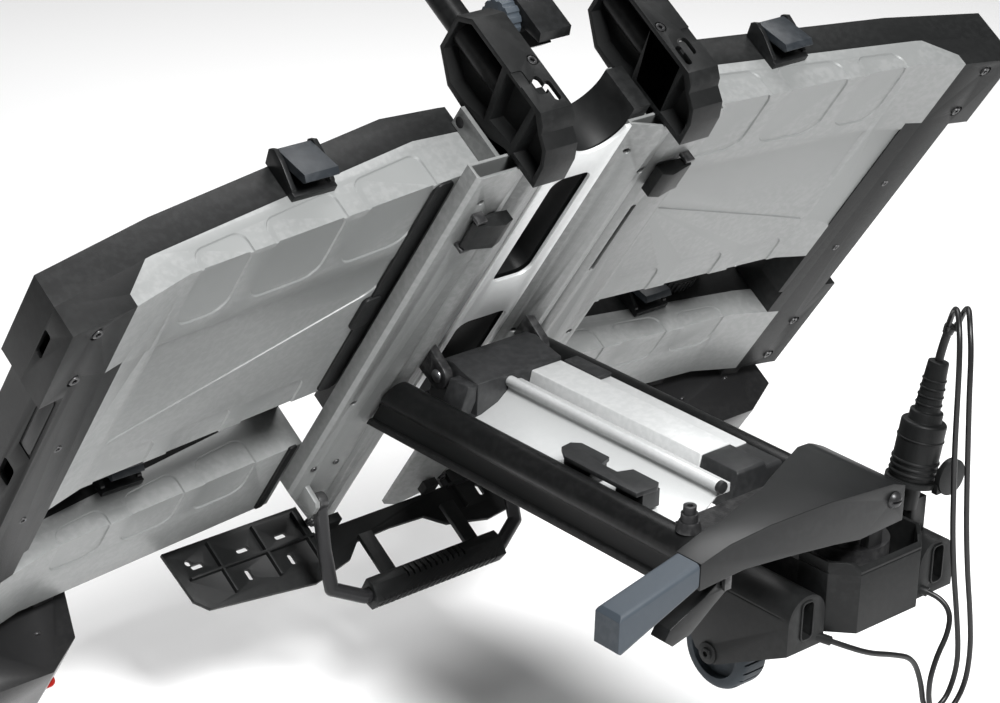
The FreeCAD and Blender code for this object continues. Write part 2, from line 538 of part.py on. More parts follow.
def beam():
    """Silver side beam with a slanted rear end, plus lugs for the upright and the pedal."""
    bar = front_prism(beam_outline(0), BEAM_FRONT, BEAM_TIP)
    hollow = front_prism(beam_outline(3), BEAM_FRONT - 1, BEAM_TIP + 1)
    slant = plan_prism([(BEAM_OUT + 1, BEAM_HEEL), (56, BEAM_TIP), (56, BEAM_TIP + 1),
                        (BEAM_OUT + 40, BEAM_TIP + 1)], -90, 0)
    bar = bar.cut(hollow).cut(slant)
    lugs = []
    for x0, x1 in ((69.0, 75.5), (117.5, 122.5)):
        lug = block(x0, x1, -34, -10.6, BEAM_TOP, FOLD_PIN_H + 8)
        lugs.append(lug)
    ear = block(140, 146, PEDAL_P - 12, PEDAL_P - 9.2, PEDAL_H, BEAM_LOW)
    plate = side_prism([(PEDAL_P - 12, BEAM_LOW), (PEDAL_P - 11, PEDAL_H - 6), (PEDAL_P - 6, PEDAL_H - 10),
                        (PEDAL_P + 6, PEDAL_H - 10), (PEDAL_P + 11, PEDAL_H - 6), (PEDAL_P + 12, BEAM_LOW)],
                       140, 146)
    plate = plate.cut(block(0, 200, PEDAL_P - 30, PEDAL_P + 30, BEAM_LOW + 0.01, 0))
    pin = rod(V(126, PEDAL_P, PEDAL_H), V(140, PEDAL_P, PEDAL_H), 4)
    ear_bar = fused(plate, pin)
    whole = fused(bar, ear_bar, *lugs)
    bolt = rod(V(60, FOLD_PIN_P, FOLD_PIN_H), V(130, FOLD_PIN_P, FOLD_PIN_H), FOLD_PIN_R)
    return whole.cut(bolt)


def window(half, front, back, low, high):
    """A through opening with round corners in the middle of the deck."""
    hole = block(-half, half, front, back, low, high)
    return rounded(hole, 14, lambda e: e.BoundBox.ZLength > high - low - 1)


def notch(low, high, grow):
    """The U-shaped bay at the front of the deck."""
    radius = NOTCH_HALF + grow
    bowl = Part.makeCylinder(radius, high - low, V(0, NOTCH_BACK + grow - radius, low))
    mouth = block(-radius, radius, FRAME_FRONT - 30, NOTCH_BACK + grow - radius, low, high)
    return fused(bowl, mouth)


def cross_plate():
    """Silver plate that joins the two beams, with two openings and the front bay."""
    high, low = PLATE_TOP, PLATE_TOP - PLATE_THICK
    sheet = block(-BEAM_IN + CLEAR, BEAM_IN - CLEAR, BEAM_FRONT, FRAME_BACK, low, high)
    sheet = sheet.cut(window(WINDOW_HALF, WINDOW_FRONT, WINDOW_BACK, low - 1, high + 1))
    sheet = sheet.cut(window(WELL_HALF, WELL_FRONT, WELL_BACK, low - 1, high + 1))
    return sheet.cut(notch(low - 1, high + 1, -6))


def centre_frame():
    """Black moulding on the middle of the deck, hollow below, with hinge knuckles for the wings."""
    low = BEAM_TOP + 0.2
    whole = block(-FRAME_HALF, FRAME_HALF, FRAME_FRONT + 30, FRAME_BACK, low, FRAME_TOP)
    neck = block(-64, 64, FRAME_FRONT, FRAME_FRONT + 30, low, FRAME_TOP)
    whole = fused(whole, neck)
    bay = block(40, FRAME_HALF - 4, 14, FRAME_BACK - 5, low - 1, FRAME_TOP - 4)
    gap = block(-36, 36, 204, 242, low - 1, FRAME_TOP - 4)
    whole = whole.cut(bay).cut(mirrored(bay)).cut(gap)
    whole = whole.cut(window(WINDOW_HALF, WINDOW_FRONT, WINDOW_BACK, low - 1, FRAME_TOP + 1))
    whole = whole.cut(window(WELL_HALF, WELL_FRONT, WELL_BACK, low - 1, FRAME_TOP + 1))
    whole = whole.cut(notch(low - 1, FRAME_TOP + 1, 0))
    lug = block(66, 124, -36, -8, low - 1, FRAME_TOP + 1)
    whole = whole.cut(lug).cut(mirrored(lug))
    knuckles = []
    for p0 in KNUCKLES_FIXED:
        barrel = rod(V(FOLD_X, p0, FOLD_H), V(FOLD_X, p0 + KNUCKLE, FOLD_H), KNUCKLE_R)
        web = block(FRAME_HALF - 6, FOLD_X - 2, p0, p0 + KNUCKLE, FRAME_TOP - 6, FRAME_TOP)
        rise = block(FOLD_X - KNUCKLE_R, FOLD_X - 2, p0, p0 + KNUCKLE, FRAME_TOP - 6, FOLD_H)
        knuckle = fused(barrel, web, rise)
        knuckles += [knuckle, mirrored(knuckle)]
    whole = fused(whole, *knuckles)
    for side in (1, -1):
        whole = whole.cut(rod(V(side * FOLD_X, 0, FOLD_H), V(side * FOLD_X, TRAY_BACK, FOLD_H), PIN_R))
    return whole


def fold_pins():
    """Long hinge pins of the two wings."""
    start, end = KNUCKLES_FIXED[0], KNUCKLES_FIXED[-1] + KNUCKLE
    return [rod(V(side * FOLD_X, start, FOLD_H), V(side * FOLD_X, end, FOLD_H), PIN_R)
            for side in (1, -1)]


def hinge_ears():
    """Two plates under the beams that the pivot shaft runs through."""
    ears = []
    for side in (1, -1):
        x0, x1 = (62, 72) if side > 0 else (-72, -62)
        tail = side_prism([(PIVOT_P - 17, BEAM_TOP - 6), (PIVOT_P - 15, PIVOT_H), (PIVOT_P + 15, PIVOT_H),
                           (PIVOT_P + 17, BEAM_TOP - 6)], x0, x1)
        eye = rod(V(x0, PIVOT_P, PIVOT_H), V(x1, PIVOT_P, PIVOT_H), 15)
        ear = fused(tail, eye)
        under = front_prism(beam_outline(0), BEAM_FRONT, BEAM_TIP)
        under = under if side > 0 else mirrored(under)
        ear = ear.cut(under)
        ear = ear.cut(rod(V(x0 - 1, PIVOT_P, PIVOT_H), V(x1 + 1, PIVOT_P, PIVOT_H),
                          SHAFT_R + RUNNING_FIT))
        ears.append(max(ear.Solids, key=lambda solid: solid.Volume))
    return ears


def latch():
    """Hook that holds a folded wing, turning on a pin under the beam."""
    hook = front_prism([(100, BEAM_LOW - 3), (100, BEAM_LOW - 15), (112, BEAM_LOW - 19),
                        (142, BEAM_LOW - 13), (145, BEAM_LOW - 7), (142, BEAM_LOW - 3),
                        (118, BEAM_LOW - 1.5)], 22, 58)
    return hook.cut(rod(V(139, 0, BEAM_LOW - 7), V(139, 80, BEAM_LOW - 7), 3 + RUNNING_FIT))


def latch_pins():
    """Pins of the two wing latches with their small end plates."""
    pins = []
    for side in (1, -1):
        pin = rod(V(139, 16, BEAM_LOW - 7), V(139, 64, BEAM_LOW - 7), 3)
        plates = [block(133, 145, p0, p0 + 4, BEAM_LOW - 12, BEAM_LOW) for p0 in (16, 60)]
        whole = fused(pin, *plates)
        pins.append(whole if side > 0 else mirrored(whole))
    return pins


def plate_board():
    """Ribbed number-plate board across the rear, notched around the beams."""
    half = [(0, -58), (94, -58), (94, -20), (BOARD_HALF, -20), (BOARD_HALF - 4, -84),
            (BOARD_HALF - 17, -99), (124, -114), (70, -102), (48, -84), (0, -82)]
    outline = half + [(-x, h) for x, h in reversed(half[1:-1])]
    sheet = front_prism(outline, BOARD_P, BOARD_P + BOARD_THICK)
    ribs = [block(x - 1.5, x + 1.5, BOARD_P - 6, BOARD_P, -92, -26)
            for x in (-220, -160, -105, 105, 160, 220)]
    bars = [block(x0, x1, BOARD_P - 6, BOARD_P, -62, -59) for x0, x1 in ((-262, -96), (96, 262))]
    stems = [block(x - 9, x + 9, BOARD_P - 16, BOARD_P, BEAM_LOW - 10, BEAM_LOW) for x in (70, -70)]
    return fused(sheet, *ribs, *bars, *stems)


def pedal_frame():
    """Bent tube that hangs under the deck and carries the foot pad."""
    route = [V(0, PEDAL_P, PEDAL_H), V(0, PEDAL_P + 42, PEDAL_H - 38), V(0, PAD_P - 4, PAD_H + 22)]
    arms = []
    for side in (1, -1):
        points = [p + V(side * PEDAL_X, 0, 0) for p in route]
        points.append(V(side * (PAD_HALF + 6), PAD_P, PAD_H + 2))
        runs = [rod(a, b, PEDAL_R) for a, b in zip(points, points[1:])]
        balls = [Part.makeSphere(PEDAL_R, p) for p in points[1:-1]]
        eye = rod(V(side * 127, PEDAL_P, PEDAL_H), V(side * 138, PEDAL_P, PEDAL_H), 10)
        arms.append(fused(eye, *runs, *balls))
    bar = rod(V(-PAD_HALF - 6, PAD_P, PAD_H + 2), V(PAD_HALF + 6, PAD_P, PAD_H + 2), PEDAL_R)
    ends = [Part.makeSphere(PEDAL_R, V(side * (PAD_HALF + 6), PAD_P, PAD_H + 2)) for side in (1, -1)]
    whole = fused(bar, *arms, *ends)
    for side in (1, -1):
        whole = whole.cut(rod(V(side * 110, PEDAL_P, PEDAL_H), V(side * 145, PEDAL_P, PEDAL_H),
                              4 + RUNNING_FIT))
        whole = whole.cut(block(side * 138.3 - 6 + 6 * side, side * 138.3 + 6 + 6 * side,
                                PEDAL_P - 20, PEDAL_P + 20, PEDAL_H - 12, PEDAL_H + 12))
    return whole


def pedal_pad():
    """Foot pad clamped over the tube's lower run, with two hooks."""
    side = [(PAD_P - 16, PAD_H + 4), (PAD_P - 12, PAD_H + 16), (PAD_P + 8, PAD_H + 14),
            (PAD_P + 14, PAD_H + 2), (PAD_P + 10, PAD_H - 12), (PAD_P - 8, PAD_H - 14)]
    pad = side_prism(side, -PAD_HALF, PAD_HALF)
    hooks = [block(x - 9, x + 9, PAD_P - 12, PAD_P - 6, PAD_H + 12, PAD_H + 68) for x in (59, -59)]
    whole = fused(pad, *hooks)
    return whole.cut(rod(V(-PAD_HALF - 1, PAD_P, PAD_H + 2), V(PAD_HALF + 1, PAD_P, PAD_H + 2),
                         PEDAL_R + 0.05))


# ---------------------------------------------------------------- wings
def line_height(line, x):
    """Height at x of one of the wing's lines, each a chain of straight runs."""
    for (x0, h0), (x1, h1) in zip(line, line[1:]):
        if x0 <= x <= x1:
            return h0 + (h1 - h0) * (x - x0) / (x1 - x0)
    return line[-1][1]


def run_of(line, x0, x1):
    """The points of a line from x0 to x1, its ends included."""
    inner = [(x, h) for x, h in line if x0 < x < x1]
    return [(x0, line_height(line, x0))] + inner + [(x1, line_height(line, x1))]


def arched(x0, x1, p0, p1, upper, lower):
    """Solid between two of the wing's lines."""
    return front_prism(run_of(upper, x0, x1) + run_of(lower, x0, x1)[::-1], p0, p1)


def raised(line, by):
    """One of the wing's lines moved up."""
    return tuple((x, h + by) for x, h in line)


def tray_shell():
    """Silver pan under the main tray."""
    nose = arched(WING_NOSE, WING_IN + 1, TRAY_FRONT, NOSE_BACK, SEAM_LINE, FLOOR_LINE)
    wide = arched(WING_IN, SHELL_OUT, TRAY_FRONT, 90, SEAM_LINE, FLOOR_LINE)
    narrow = arched(WING_IN, SHELL_STEP_X, 90, TRAY_BACK, SEAM_LINE, FLOOR_LINE)
    hollow = arched(WING_IN + SHELL_WALL, SHELL_STEP_X - SHELL_WALL, TRAY_FRONT + SHELL_WALL,
                    TRAY_BACK - SHELL_WALL, raised(SEAM_LINE, 5), raised(FLOOR_LINE, SHELL_WALL))
    corner = front_prism([(SHELL_OUT - 30, 20), (SHELL_OUT - 34, line_height(SEAM_LINE, SHELL_OUT - 34)),
                          (SHELL_OUT + 1, line_height(SEAM_LINE, SHELL_OUT) - 24),
                          (SHELL_OUT + 1, 20)], TRAY_FRONT - 1, TRAY_FRONT + 40)
    return fused(nose, wide, narrow).cut(hollow).cut(corner)


def rear_shell():
    """Silver pan under the rear tray."""
    pan = arched(REAR_IN, SHELL_OUT, REAR_FRONT, REAR_BACK, SEAM_LINE, FLOOR_LINE)
    hollow = arched(REAR_IN + SHELL_WALL, SHELL_OUT - SHELL_WALL, REAR_FRONT + SHELL_WALL,
                    REAR_BACK - SHELL_WALL, raised(SEAM_LINE, 5), raised(FLOOR_LINE, SHELL_WALL))
    return pan.cut(hollow)


def wing_top():
    """Dark moulding over both trays with wheel channels, and the knuckles of the fold hinge."""
    main = fused(arched(WING_NOSE, WING_IN + 1, TRAY_FRONT, NOSE_BACK, TOP_LINE, SEAM_LINE),
                 arched(WING_IN, WING_OUT, TRAY_FRONT, CAP_BACK, TOP_LINE, SEAM_LINE),
                 arched(WING_IN, RAIL_OUT, CAP_BACK, TRAY_BACK, TOP_LINE, SEAM_LINE))
    main_hollow = arched(WING_IN + TOP_WALL, RAIL_OUT - TOP_WALL, TRAY_FRONT + TOP_WALL,
                         TRAY_BACK - TOP_WALL, raised(TOP_LINE, -TOP_WALL), raised(SEAM_LINE, -5))
    main = main.cut(main_hollow)
    rear = arched(REAR_IN, REAR_OUT, REAR_FRONT, REAR_BACK, TOP_LINE, SEAM_LINE)
    rear_hollow = arched(REAR_IN + TOP_WALL, REAR_OUT - TOP_WALL, REAR_FRONT + TOP_WALL,
                         REAR_BACK - TOP_WALL, raised(TOP_LINE, -TOP_WALL), raised(SEAM_LINE, -5))
    rear = rear.cut(rear_hollow)
    rail = arched(REAR_IN + 2, REAR_IN + 30, TRAY_BACK - 1, REAR_FRONT + 1, raised(TOP_LINE, -6), SEAM_LINE)
    whole = fused(main, rear, rail)
    knuckles = []
    for p0 in KNUCKLES_MOVING:
        barrel = rod(V(FOLD_X, p0, FOLD_H), V(FOLD_X, p0 + KNUCKLE, FOLD_H), KNUCKLE_R)
        web = block(FOLD_X, WING_IN + 2, p0, p0 + KNUCKLE, FOLD_H - KNUCKLE_R, FOLD_H - 2)
        knuckles.append(fused(barrel, web))
    for p0 in KNUCKLES_FIXED:
        whole = whole.cut(rod(V(FOLD_X, p0 - 1, FOLD_H), V(FOLD_X, p0 + KNUCKLE + 1, FOLD_H), KNUCKLE_R + 1))
    whole = fused(whole, *knuckles)
    return whole.cut(rod(V(FOLD_X, 0, FOLD_H), V(FOLD_X, TRAY_BACK, FOLD_H), PIN_R + RUNNING_FIT))


def end_moulding():
    """Black end: front cap, side rail with its badge recess and rear cap."""
    cap = arched(SHELL_STEP_X - 12, WING_OUT, TRAY_FRONT, CAP_BACK, SEAM_LINE, raised(FLOOR_LINE, 0))
    rail = arched(SHELL_STEP_X, RAIL_OUT, CAP_BACK - 8, REAR_FRONT - 40, SEAM_LINE, FLOOR_LINE)
    link = arched(SHELL_STEP_X + 6, RAIL_OUT, TRAY_BACK, REAR_FRONT, raised(TOP_LINE, -2), FLOOR_LINE)
    rear = arched(SHELL_STEP_X + 6, REAR_OUT, REAR_FRONT - 44, REAR_BACK, SEAM_LINE, FLOOR_LINE)
    solid = fused(cap, rail, link, rear)
    wide = arched(WING_IN, SHELL_OUT, TRAY_FRONT - 1, 90, raised(SEAM_LINE, 1), raised(FLOOR_LINE, -1))
    corner = front_prism([(SHELL_OUT - 34, line_height(SEAM_LINE, SHELL_OUT - 34)),
                          (SHELL_OUT + 1, line_height(SEAM_LINE, SHELL_OUT) - 24),
                          (SHELL_OUT + 1, 20)], TRAY_FRONT, TRAY_FRONT + 40)
    narrow = arched(WING_IN, SHELL_STEP_X, 80, TRAY_BACK, raised(SEAM_LINE, 1), raised(FLOOR_LINE, -1))
    rear_pan_block = arched(REAR_IN, SHELL_OUT, REAR_FRONT, REAR_BACK + 1, raised(SEAM_LINE, 1),
                            raised(FLOOR_LINE, -1))
    solid = solid.cut(wide.cut(corner)).cut(narrow).cut(rear_pan_block)
    hollow_cap = arched(SHELL_OUT + 3, WING_OUT - 4, TRAY_FRONT + 4, CAP_BACK - 4,
                        raised(SEAM_LINE, 1), raised(FLOOR_LINE, 3))
    hollow_rail = arched(SHELL_STEP_X + 3, RAIL_OUT - 6, CAP_BACK + 4, TRAY_BACK - 4,
                         raised(SEAM_LINE, 1), raised(FLOOR_LINE, 3))
    hollow_rear = arched(SHELL_OUT + 3, REAR_OUT - 4, REAR_FRONT + 4, REAR_BACK - 4,
                         raised(SEAM_LINE, 1), raised(FLOOR_LINE, 3))
    solid = solid.cut(hollow_cap).cut(hollow_rail).cut(hollow_rear)
    badge = block(RAIL_OUT - 1.2, RAIL_OUT + 1, CAP_BACK + 14, CAP_BACK + 104, -62, -42)
    solid = solid.cut(badge)
    return max(solid.Solids, key=lambda part: part.Volume)


def buckle_base(x, p, h):
    """Ratchet buckle body on a wall whose face is at p: a foot and two side cheeks."""
    half = BUCKLE_W / 2
    foot = block(x - half, x + half, p - 8, p, h - 46, h - 8)
    cheeks = [side_prism([(p, h - 46), (p, h + 2), (p - 16, h + 6), (p - 22, h), (p - 20, h - 14),
                          (p - 10, h - 40)], x0, x0 + 5) for x0 in (x - half, x + half - 5)]
    pin = rod(V(x - half, p - 14, h - 2), V(x + half, p - 14, h - 2), 3)
    return fused(foot, pin, *cheeks)


def buckle_lever(x, p, h):
    """Blue-grey ratchet lever that swings out from the buckle."""
    half = BUCKLE_W / 2 - 5.5
    eye = rod(V(x - half, p - 14, h - 2), V(x + half, p - 14, h - 2), 6)
    plate = side_prism([(p - 17, h + 3), (p - 20, h - 1), (p - 31, h - 40), (p - 27, h - 46),
                        (p - 23, h - 44), (p - 12, h - 7)], x - half, x + half)
    return fused(eye, plate).cut(rod(V(x - half - 1, p - 14, h - 2), V(x + half + 1, p - 14, h - 2),
                                     3 + RUNNING_FIT))


def buckle_places():
    """Where the front buckle and the strap buckle of a wing sit: x, wall and pin height."""
    return ((BUCKLE_X, TRAY_FRONT, BUCKLE_H), (STRAP_BUCKLE_X, REAR_FRONT, STRAP_BUCKLE_H))


def ladder_strap():
    """Ridged strap that leaves the strap buckle and curls up behind the main tray."""
    x0, wall = STRAP_BUCKLE_X + BUCKLE_W / 2, REAR_FRONT
    radius, thick = 52.0, 4.0
    middle = V(x0 + 36, wall - 9, 60)
    outer = Part.makeCylinder(radius, 18, middle + V(0, -9, 0), ALONG)
    band = outer.cut(Part.makeCylinder(radius - thick, 18, middle + V(0, -9, 0), ALONG))
    keep = prism([middle + V(0, -10, 0), middle + V(-36, -10, -62), middle + V(20, -10, -62),
                  middle + V(62, -10, -36)], V(0, 20, 0))
    band = band.common(keep)
    ridges = []
    for step in range(12):
        angle = math.radians(-118 + 7.5 * step)
        spot = middle + V(math.cos(angle), 0, math.sin(angle)) * (radius + 0.6)
        ridges.append(rod(spot - ALONG * 8, spot + ALONG * 8, 1.3))
    return fused(band, *ridges)


def lamp():
    """Rear lamp housing hung behind the rear tray."""
    outline = [(LAMP_IN, -20), (LAMP_IN + 20, -82), (LAMP_IN + 62, -110), (LAMP_OUT - 50, -110),
               (LAMP_OUT, -84), (LAMP_OUT, -36), (LAMP_OUT - 60, -20)]
    case = front_prism(outline, REAR_BACK + 22, LAMP_BACK)
    arms = [arched(x0, x0 + 26, REAR_BACK, REAR_BACK + 24, raised(SEAM_LINE, -6), raised(FLOOR_LINE, 6))
            for x0 in (LAMP_IN + 20, LAMP_OUT - 60)]
    return fused(case, *arms)


# ---------------------------------------------------------------- upright
def bracket():
    """Upright's foot: a box open on both sides with a web, holding the tube and the fold pin."""
    x0, x1 = BRACKET_X - BRACKET_HALF, BRACKET_X + BRACKET_HALF
    outline = [(BRACKET_FRONT, BRACKET_LOW + 6), (BRACKET_FRONT, BRACKET_HIGH - 18),
               (BRACKET_FRONT + 14, BRACKET_HIGH), (BRACKET_BACK - 24, BRACKET_HIGH),
               (BRACKET_BACK, BRACKET_HIGH - 30), (BRACKET_BACK + 2, FOLD_PIN_H + 8),
               (FOLD_PIN_P + 10, FOLD_PIN_H + 6), (FOLD_PIN_P + 10, FOLD_PIN_H - 8),
               (BRACKET_BACK, FOLD_PIN_H - 22), (BEAM_FRONT - 2, BEAM_TOP + 4),
               (BEAM_FRONT - 2, BRACKET_TIP), (BRACKET_FRONT + 40, BRACKET_TIP + 2),
               (BRACKET_FRONT + 24, BRACKET_LOW - 21), (BRACKET_FRONT + 16, BRACKET_LOW - 7),
               (BRACKET_FRONT + 8, BRACKET_LOW - 4)]
    body = side_prism(outline, x0, x1)
    pocket = [(BRACKET_FRONT + 5, 24), (BRACKET_FRONT + 5, BRACKET_HIGH - 20),
              (BRACKET_FRONT + 17, BRACKET_HIGH - 5), (BRACKET_BACK - 26, BRACKET_HIGH - 5),
              (BRACKET_BACK - 6, BRACKET_HIGH - 32), (BRACKET_BACK - 6, 40), (BRACKET_BACK - 14, 12)]
    middle = [(BRACKET_FRONT + 5, BRACKET_LOW + 18), (BRACKET_FRONT + 5, 16), (BRACKET_BACK - 20, 6),
              (BEAM_FRONT - 12, BEAM_TOP + 2)]
    lower = [(BRACKET_FRONT + 6, BRACKET_LOW + 11), (BEAM_FRONT - 8, BEAM_TOP - 6),
             (BEAM_FRONT - 8, BRACKET_TIP + 6), (BRACKET_FRONT + 41, BRACKET_TIP + 7),
             (BRACKET_FRONT + 28, BRACKET_LOW - 17), (BRACKET_FRONT + 19, BRACKET_LOW - 3)]
    for shape in (pocket, middle, lower):
        body = body.cut(side_prism(shape, x0 - 1, BRACKET_X - 2))
        body = body.cut(side_prism(shape, BRACKET_X + 2, x1 + 1))
    leg = rod(V(TUBE_X, LEG_P, LEG_FOOT), V(TUBE_X, LEG_P, 200), LEG_R)
    pin = rod(V(0, FOLD_PIN_P, FOLD_PIN_H), V(200, FOLD_PIN_P, FOLD_PIN_H), FOLD_PIN_R + RUNNING_FIT)
    return body.cut(leg).cut(pin)


def fold_bolts():
    """Bolts that the two brackets fold on."""
    bolts = []
    for side in (1, -1):
        ends = (69.0, 122.5) if side > 0 else (-122.5, -69.0)
        bolts.append(rod(V(ends[0], FOLD_PIN_P, FOLD_PIN_H), V(ends[1], FOLD_PIN_P, FOLD_PIN_H),
                         FOLD_PIN_R))
    return bolts


def u_frame():
    """The U-shaped tube of the upright: two legs, two bends and the top bar."""
    bend_h = FRAME_HEIGHT - FRAME_BEND
    inner = TUBE_X - FRAME_BEND
    parts = [rod(V(-inner, LEG_P, FRAME_HEIGHT), V(inner, LEG_P, FRAME_HEIGHT), LEG_R)]
    for side in (1, -1):
        foot = V(side * TUBE_X, LEG_P, LEG_FOOT)
        parts.append(rod(foot, V(side * TUBE_X, LEG_P, bend_h), LEG_R))
        ring = Part.makeTorus(FRAME_BEND, LEG_R, V(side * inner, LEG_P, bend_h), ALONG)
        x0, x1 = (inner, 300) if side > 0 else (-300, -inner)
        parts.append(ring.common(block(x0, x1, LEG_P - 60, LEG_P + 60, bend_h, bend_h + 200)))
    return fused(*parts)


def bike_arm():
    """Arm that hangs from the top bar: a split clamp, a tube and the claw head."""
    clamp = rod(V(ARM_X - 22, LEG_P, FRAME_HEIGHT), V(ARM_X + 22, LEG_P, FRAME_HEIGHT), LEG_R + 9)
    tube = rod(V(ARM_X, LEG_P, ARM_END), V(ARM_X, LEG_P, FRAME_HEIGHT - 10), ARM_R)
    head = side_prism([(LEG_P - 24, HEAD_H - 30), (LEG_P - 24, HEAD_H + 24), (LEG_P - 8, HEAD_H + 40),
                       (LEG_P + 14, HEAD_H + 40), (LEG_P + 26, HEAD_H + 20), (LEG_P + 26, HEAD_H - 12),
                       (LEG_P + 12, HEAD_H - 20), (LEG_P + 2, HEAD_H - 6), (LEG_P - 8, HEAD_H - 6),
                       (LEG_P - 14, HEAD_H - 34)], ARM_X - 20, ARM_X + 20)
    stud = rod(V(ARM_X - 20, LEG_P, HEAD_H + 12), V(ARM_X - 37, LEG_P, HEAD_H + 12), KNOB_STUD_R)
    whole = fused(clamp, tube, head, stud)
    bar = rod(V(-100, LEG_P, FRAME_HEIGHT), V(100, LEG_P, FRAME_HEIGHT), LEG_R + RUNNING_FIT)
    return whole.cut(bar)


def arm_knob():
    """Ribbed tightening knob on the side of the claw head."""
    start = V(ARM_X - 20.4, LEG_P, HEAD_H + 12)
    knob = Part.makeCylinder(21, 16, start - ACROSS * 16, ACROSS)
    grooves = []
    for step in range(12):
        angle = math.radians(30 * step)
        spot = start + V(-18, math.cos(angle) * 22.5, math.sin(angle) * 22.5)
        grooves.append(Part.makeCylinder(3, 20, spot, ACROSS))
    for groove in grooves:
        knob = knob.cut(groove)
    return knob.cut(rod(start, start - ACROSS * 17, KNOB_STUD_R + RUNNING_FIT))


# ---------------------------------------------------------------- writing the parts
def write_chassis():
    tube = chassis_tube()
    save("right_tube", tube)
    save("left_tube", mirrored(tube))
    save("trough_sill", trough())
    save("box_sill", box_sill())
    save("sill_caps", trough_end(), *sill_caps())
    save("hinge_block", hinge_block())
    save("pivot_shaft", rod(V(-73, PIVOT_Y, PIVOT_Z), V(73, PIVOT_Y, PIVOT_Z), SHAFT_R))
    save("saddle_block", saddle())
    save("coupling_bolts", *clamp_bolts())
    save("coupling_body", coupling_body())
    save("coupling_cover", coupling_cover())
    save("clamp_plunger", plunger())
    housing = wheel_housing()
    save("right_wheel_housing", housing)
    save("left_wheel_housing", mirrored(housing))
    save("right_wheel", wheel())
    save("left_wheel", mirrored(wheel()))


def write_lever_and_cable():
    save("lever_cover", lever_cover())
    save("lever_core", lever_core())
    save("lever_grip", lever_grip())
    save("release_trigger", trigger())
    save("plug_holder", plug_holder())
    save("cable_plug", plug())
    save("cable_splitter", splitter())
    save("cable_glands", *glands())
    save("cord_trunk", cord("cord_trunk", TRUNK_ROUTE, TRUNK_R))
    save("cord_left", cord("cord_left", LEFT_ROUTE, STRAND_R))
    save("cord_right", cord("cord_right", RIGHT_ROUTE, STRAND_R))


def write_deck():
    save_pair("beam", beam())
    save_deck("cross_plate", cross_plate())
    save_deck("centre_frame", centre_frame())
    save_deck("hinge_ears", *hinge_ears())
    save_deck("deck_pins", *fold_pins(), *latch_pins(), *fold_bolts())
    save_pair("latch", latch())
    save_deck("plate_board", plate_board())
    save_deck("pedal_frame", pedal_frame())
    save_deck("pedal_pad", pedal_pad())


def write_wings():
    save_pair("tray_shells", tray_shell(), rear_shell())
    save_pair("wing_top", wing_top())
    save_pair("end_moulding", end_moulding())
    places = buckle_places()
    save_pair("buckles", *[buckle_base(*place) for place in places])
    save_pair("front_lever", buckle_lever(*places[0]))
    save_pair("strap_lever", buckle_lever(*places[1]))
    save_pair("ladder_strap", ladder_strap())
    save_pair("lamp", lamp())


def write_upright():
    save_pair("bracket", bracket())
    save_deck("u_frame", u_frame())
    save_deck("bike_arm", bike_arm())
    save_deck("arm_knob", arm_knob())


os.makedirs("parts", exist_ok=True)
write_chassis()
write_lever_and_cable()
write_deck()
write_wings()
write_upright()
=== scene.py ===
import bpy
import json
import math
from mathutils import Matrix, Vector


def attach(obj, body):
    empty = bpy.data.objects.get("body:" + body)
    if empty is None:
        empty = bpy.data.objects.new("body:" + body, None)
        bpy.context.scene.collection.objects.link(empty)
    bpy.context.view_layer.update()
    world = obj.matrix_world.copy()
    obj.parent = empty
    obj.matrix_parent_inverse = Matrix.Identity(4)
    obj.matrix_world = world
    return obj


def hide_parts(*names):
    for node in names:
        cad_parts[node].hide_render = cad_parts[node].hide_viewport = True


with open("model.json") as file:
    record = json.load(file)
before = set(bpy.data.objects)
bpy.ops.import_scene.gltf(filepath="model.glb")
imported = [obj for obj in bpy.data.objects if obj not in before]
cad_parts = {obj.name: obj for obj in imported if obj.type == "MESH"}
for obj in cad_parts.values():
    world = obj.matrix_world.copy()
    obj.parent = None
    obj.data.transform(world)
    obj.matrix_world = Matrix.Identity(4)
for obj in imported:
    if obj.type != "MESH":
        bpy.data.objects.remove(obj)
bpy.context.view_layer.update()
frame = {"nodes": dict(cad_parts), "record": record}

TILT = math.radians(56.75)
PIVOT = Vector((0.0, 0.515, 0.040))
DECK_PIVOT = Vector((0.0, 0.289, -0.070))


# ------------------------------------------------------------------ where things are
def deck_matrix():
    """Turns a piece drawn level on the deck into its rest pose."""
    return Matrix.Translation(PIVOT) @ Matrix.Rotation(-TILT, 4, "X") @ Matrix.Translation(-DECK_PIVOT)


# ------------------------------------------------------------------ camera, light, floor
def set_camera():
    az, el, roll = math.radians(-41.81), math.radians(24.20), math.radians(1.69)
    back = Vector((math.sin(az) * math.cos(el), -math.cos(az) * math.cos(el), math.sin(el)))
    right = (-back).cross(Vector((0, 0, 1))).normalized()
    up = right.cross(-back).normalized()
    turned_right = right * math.cos(roll) + up * math.sin(roll)
    turned_up = up * math.cos(roll) - right * math.sin(roll)
    camera = bpy.data.objects.new("camera", bpy.data.cameras.new("camera"))
    camera.data.sensor_width = 36.0
    camera.data.lens = 106.43
    camera.data.clip_start = 0.05
    camera.matrix_world = Matrix((
        (turned_right.x, turned_up.x, back.x, -1.8742),
        (turned_right.y, turned_up.y, back.y, -1.5973),
        (turned_right.z, turned_up.z, back.z, 1.3173),
        (0, 0, 0, 1)))
    bpy.context.scene.collection.objects.link(camera)
    bpy.context.scene.camera = camera


def area_light(name, place, target, size, power):
    lamp = bpy.data.lights.new(name, "AREA")
    lamp.shape = "DISK"
    lamp.size = size
    lamp.energy = power
    light = bpy.data.objects.new(name, lamp)
    light.location = place
    light.rotation_euler = (Vector(target) - Vector(place)).to_track_quat("-Z", "Y").to_euler()
    bpy.context.scene.collection.objects.link(light)


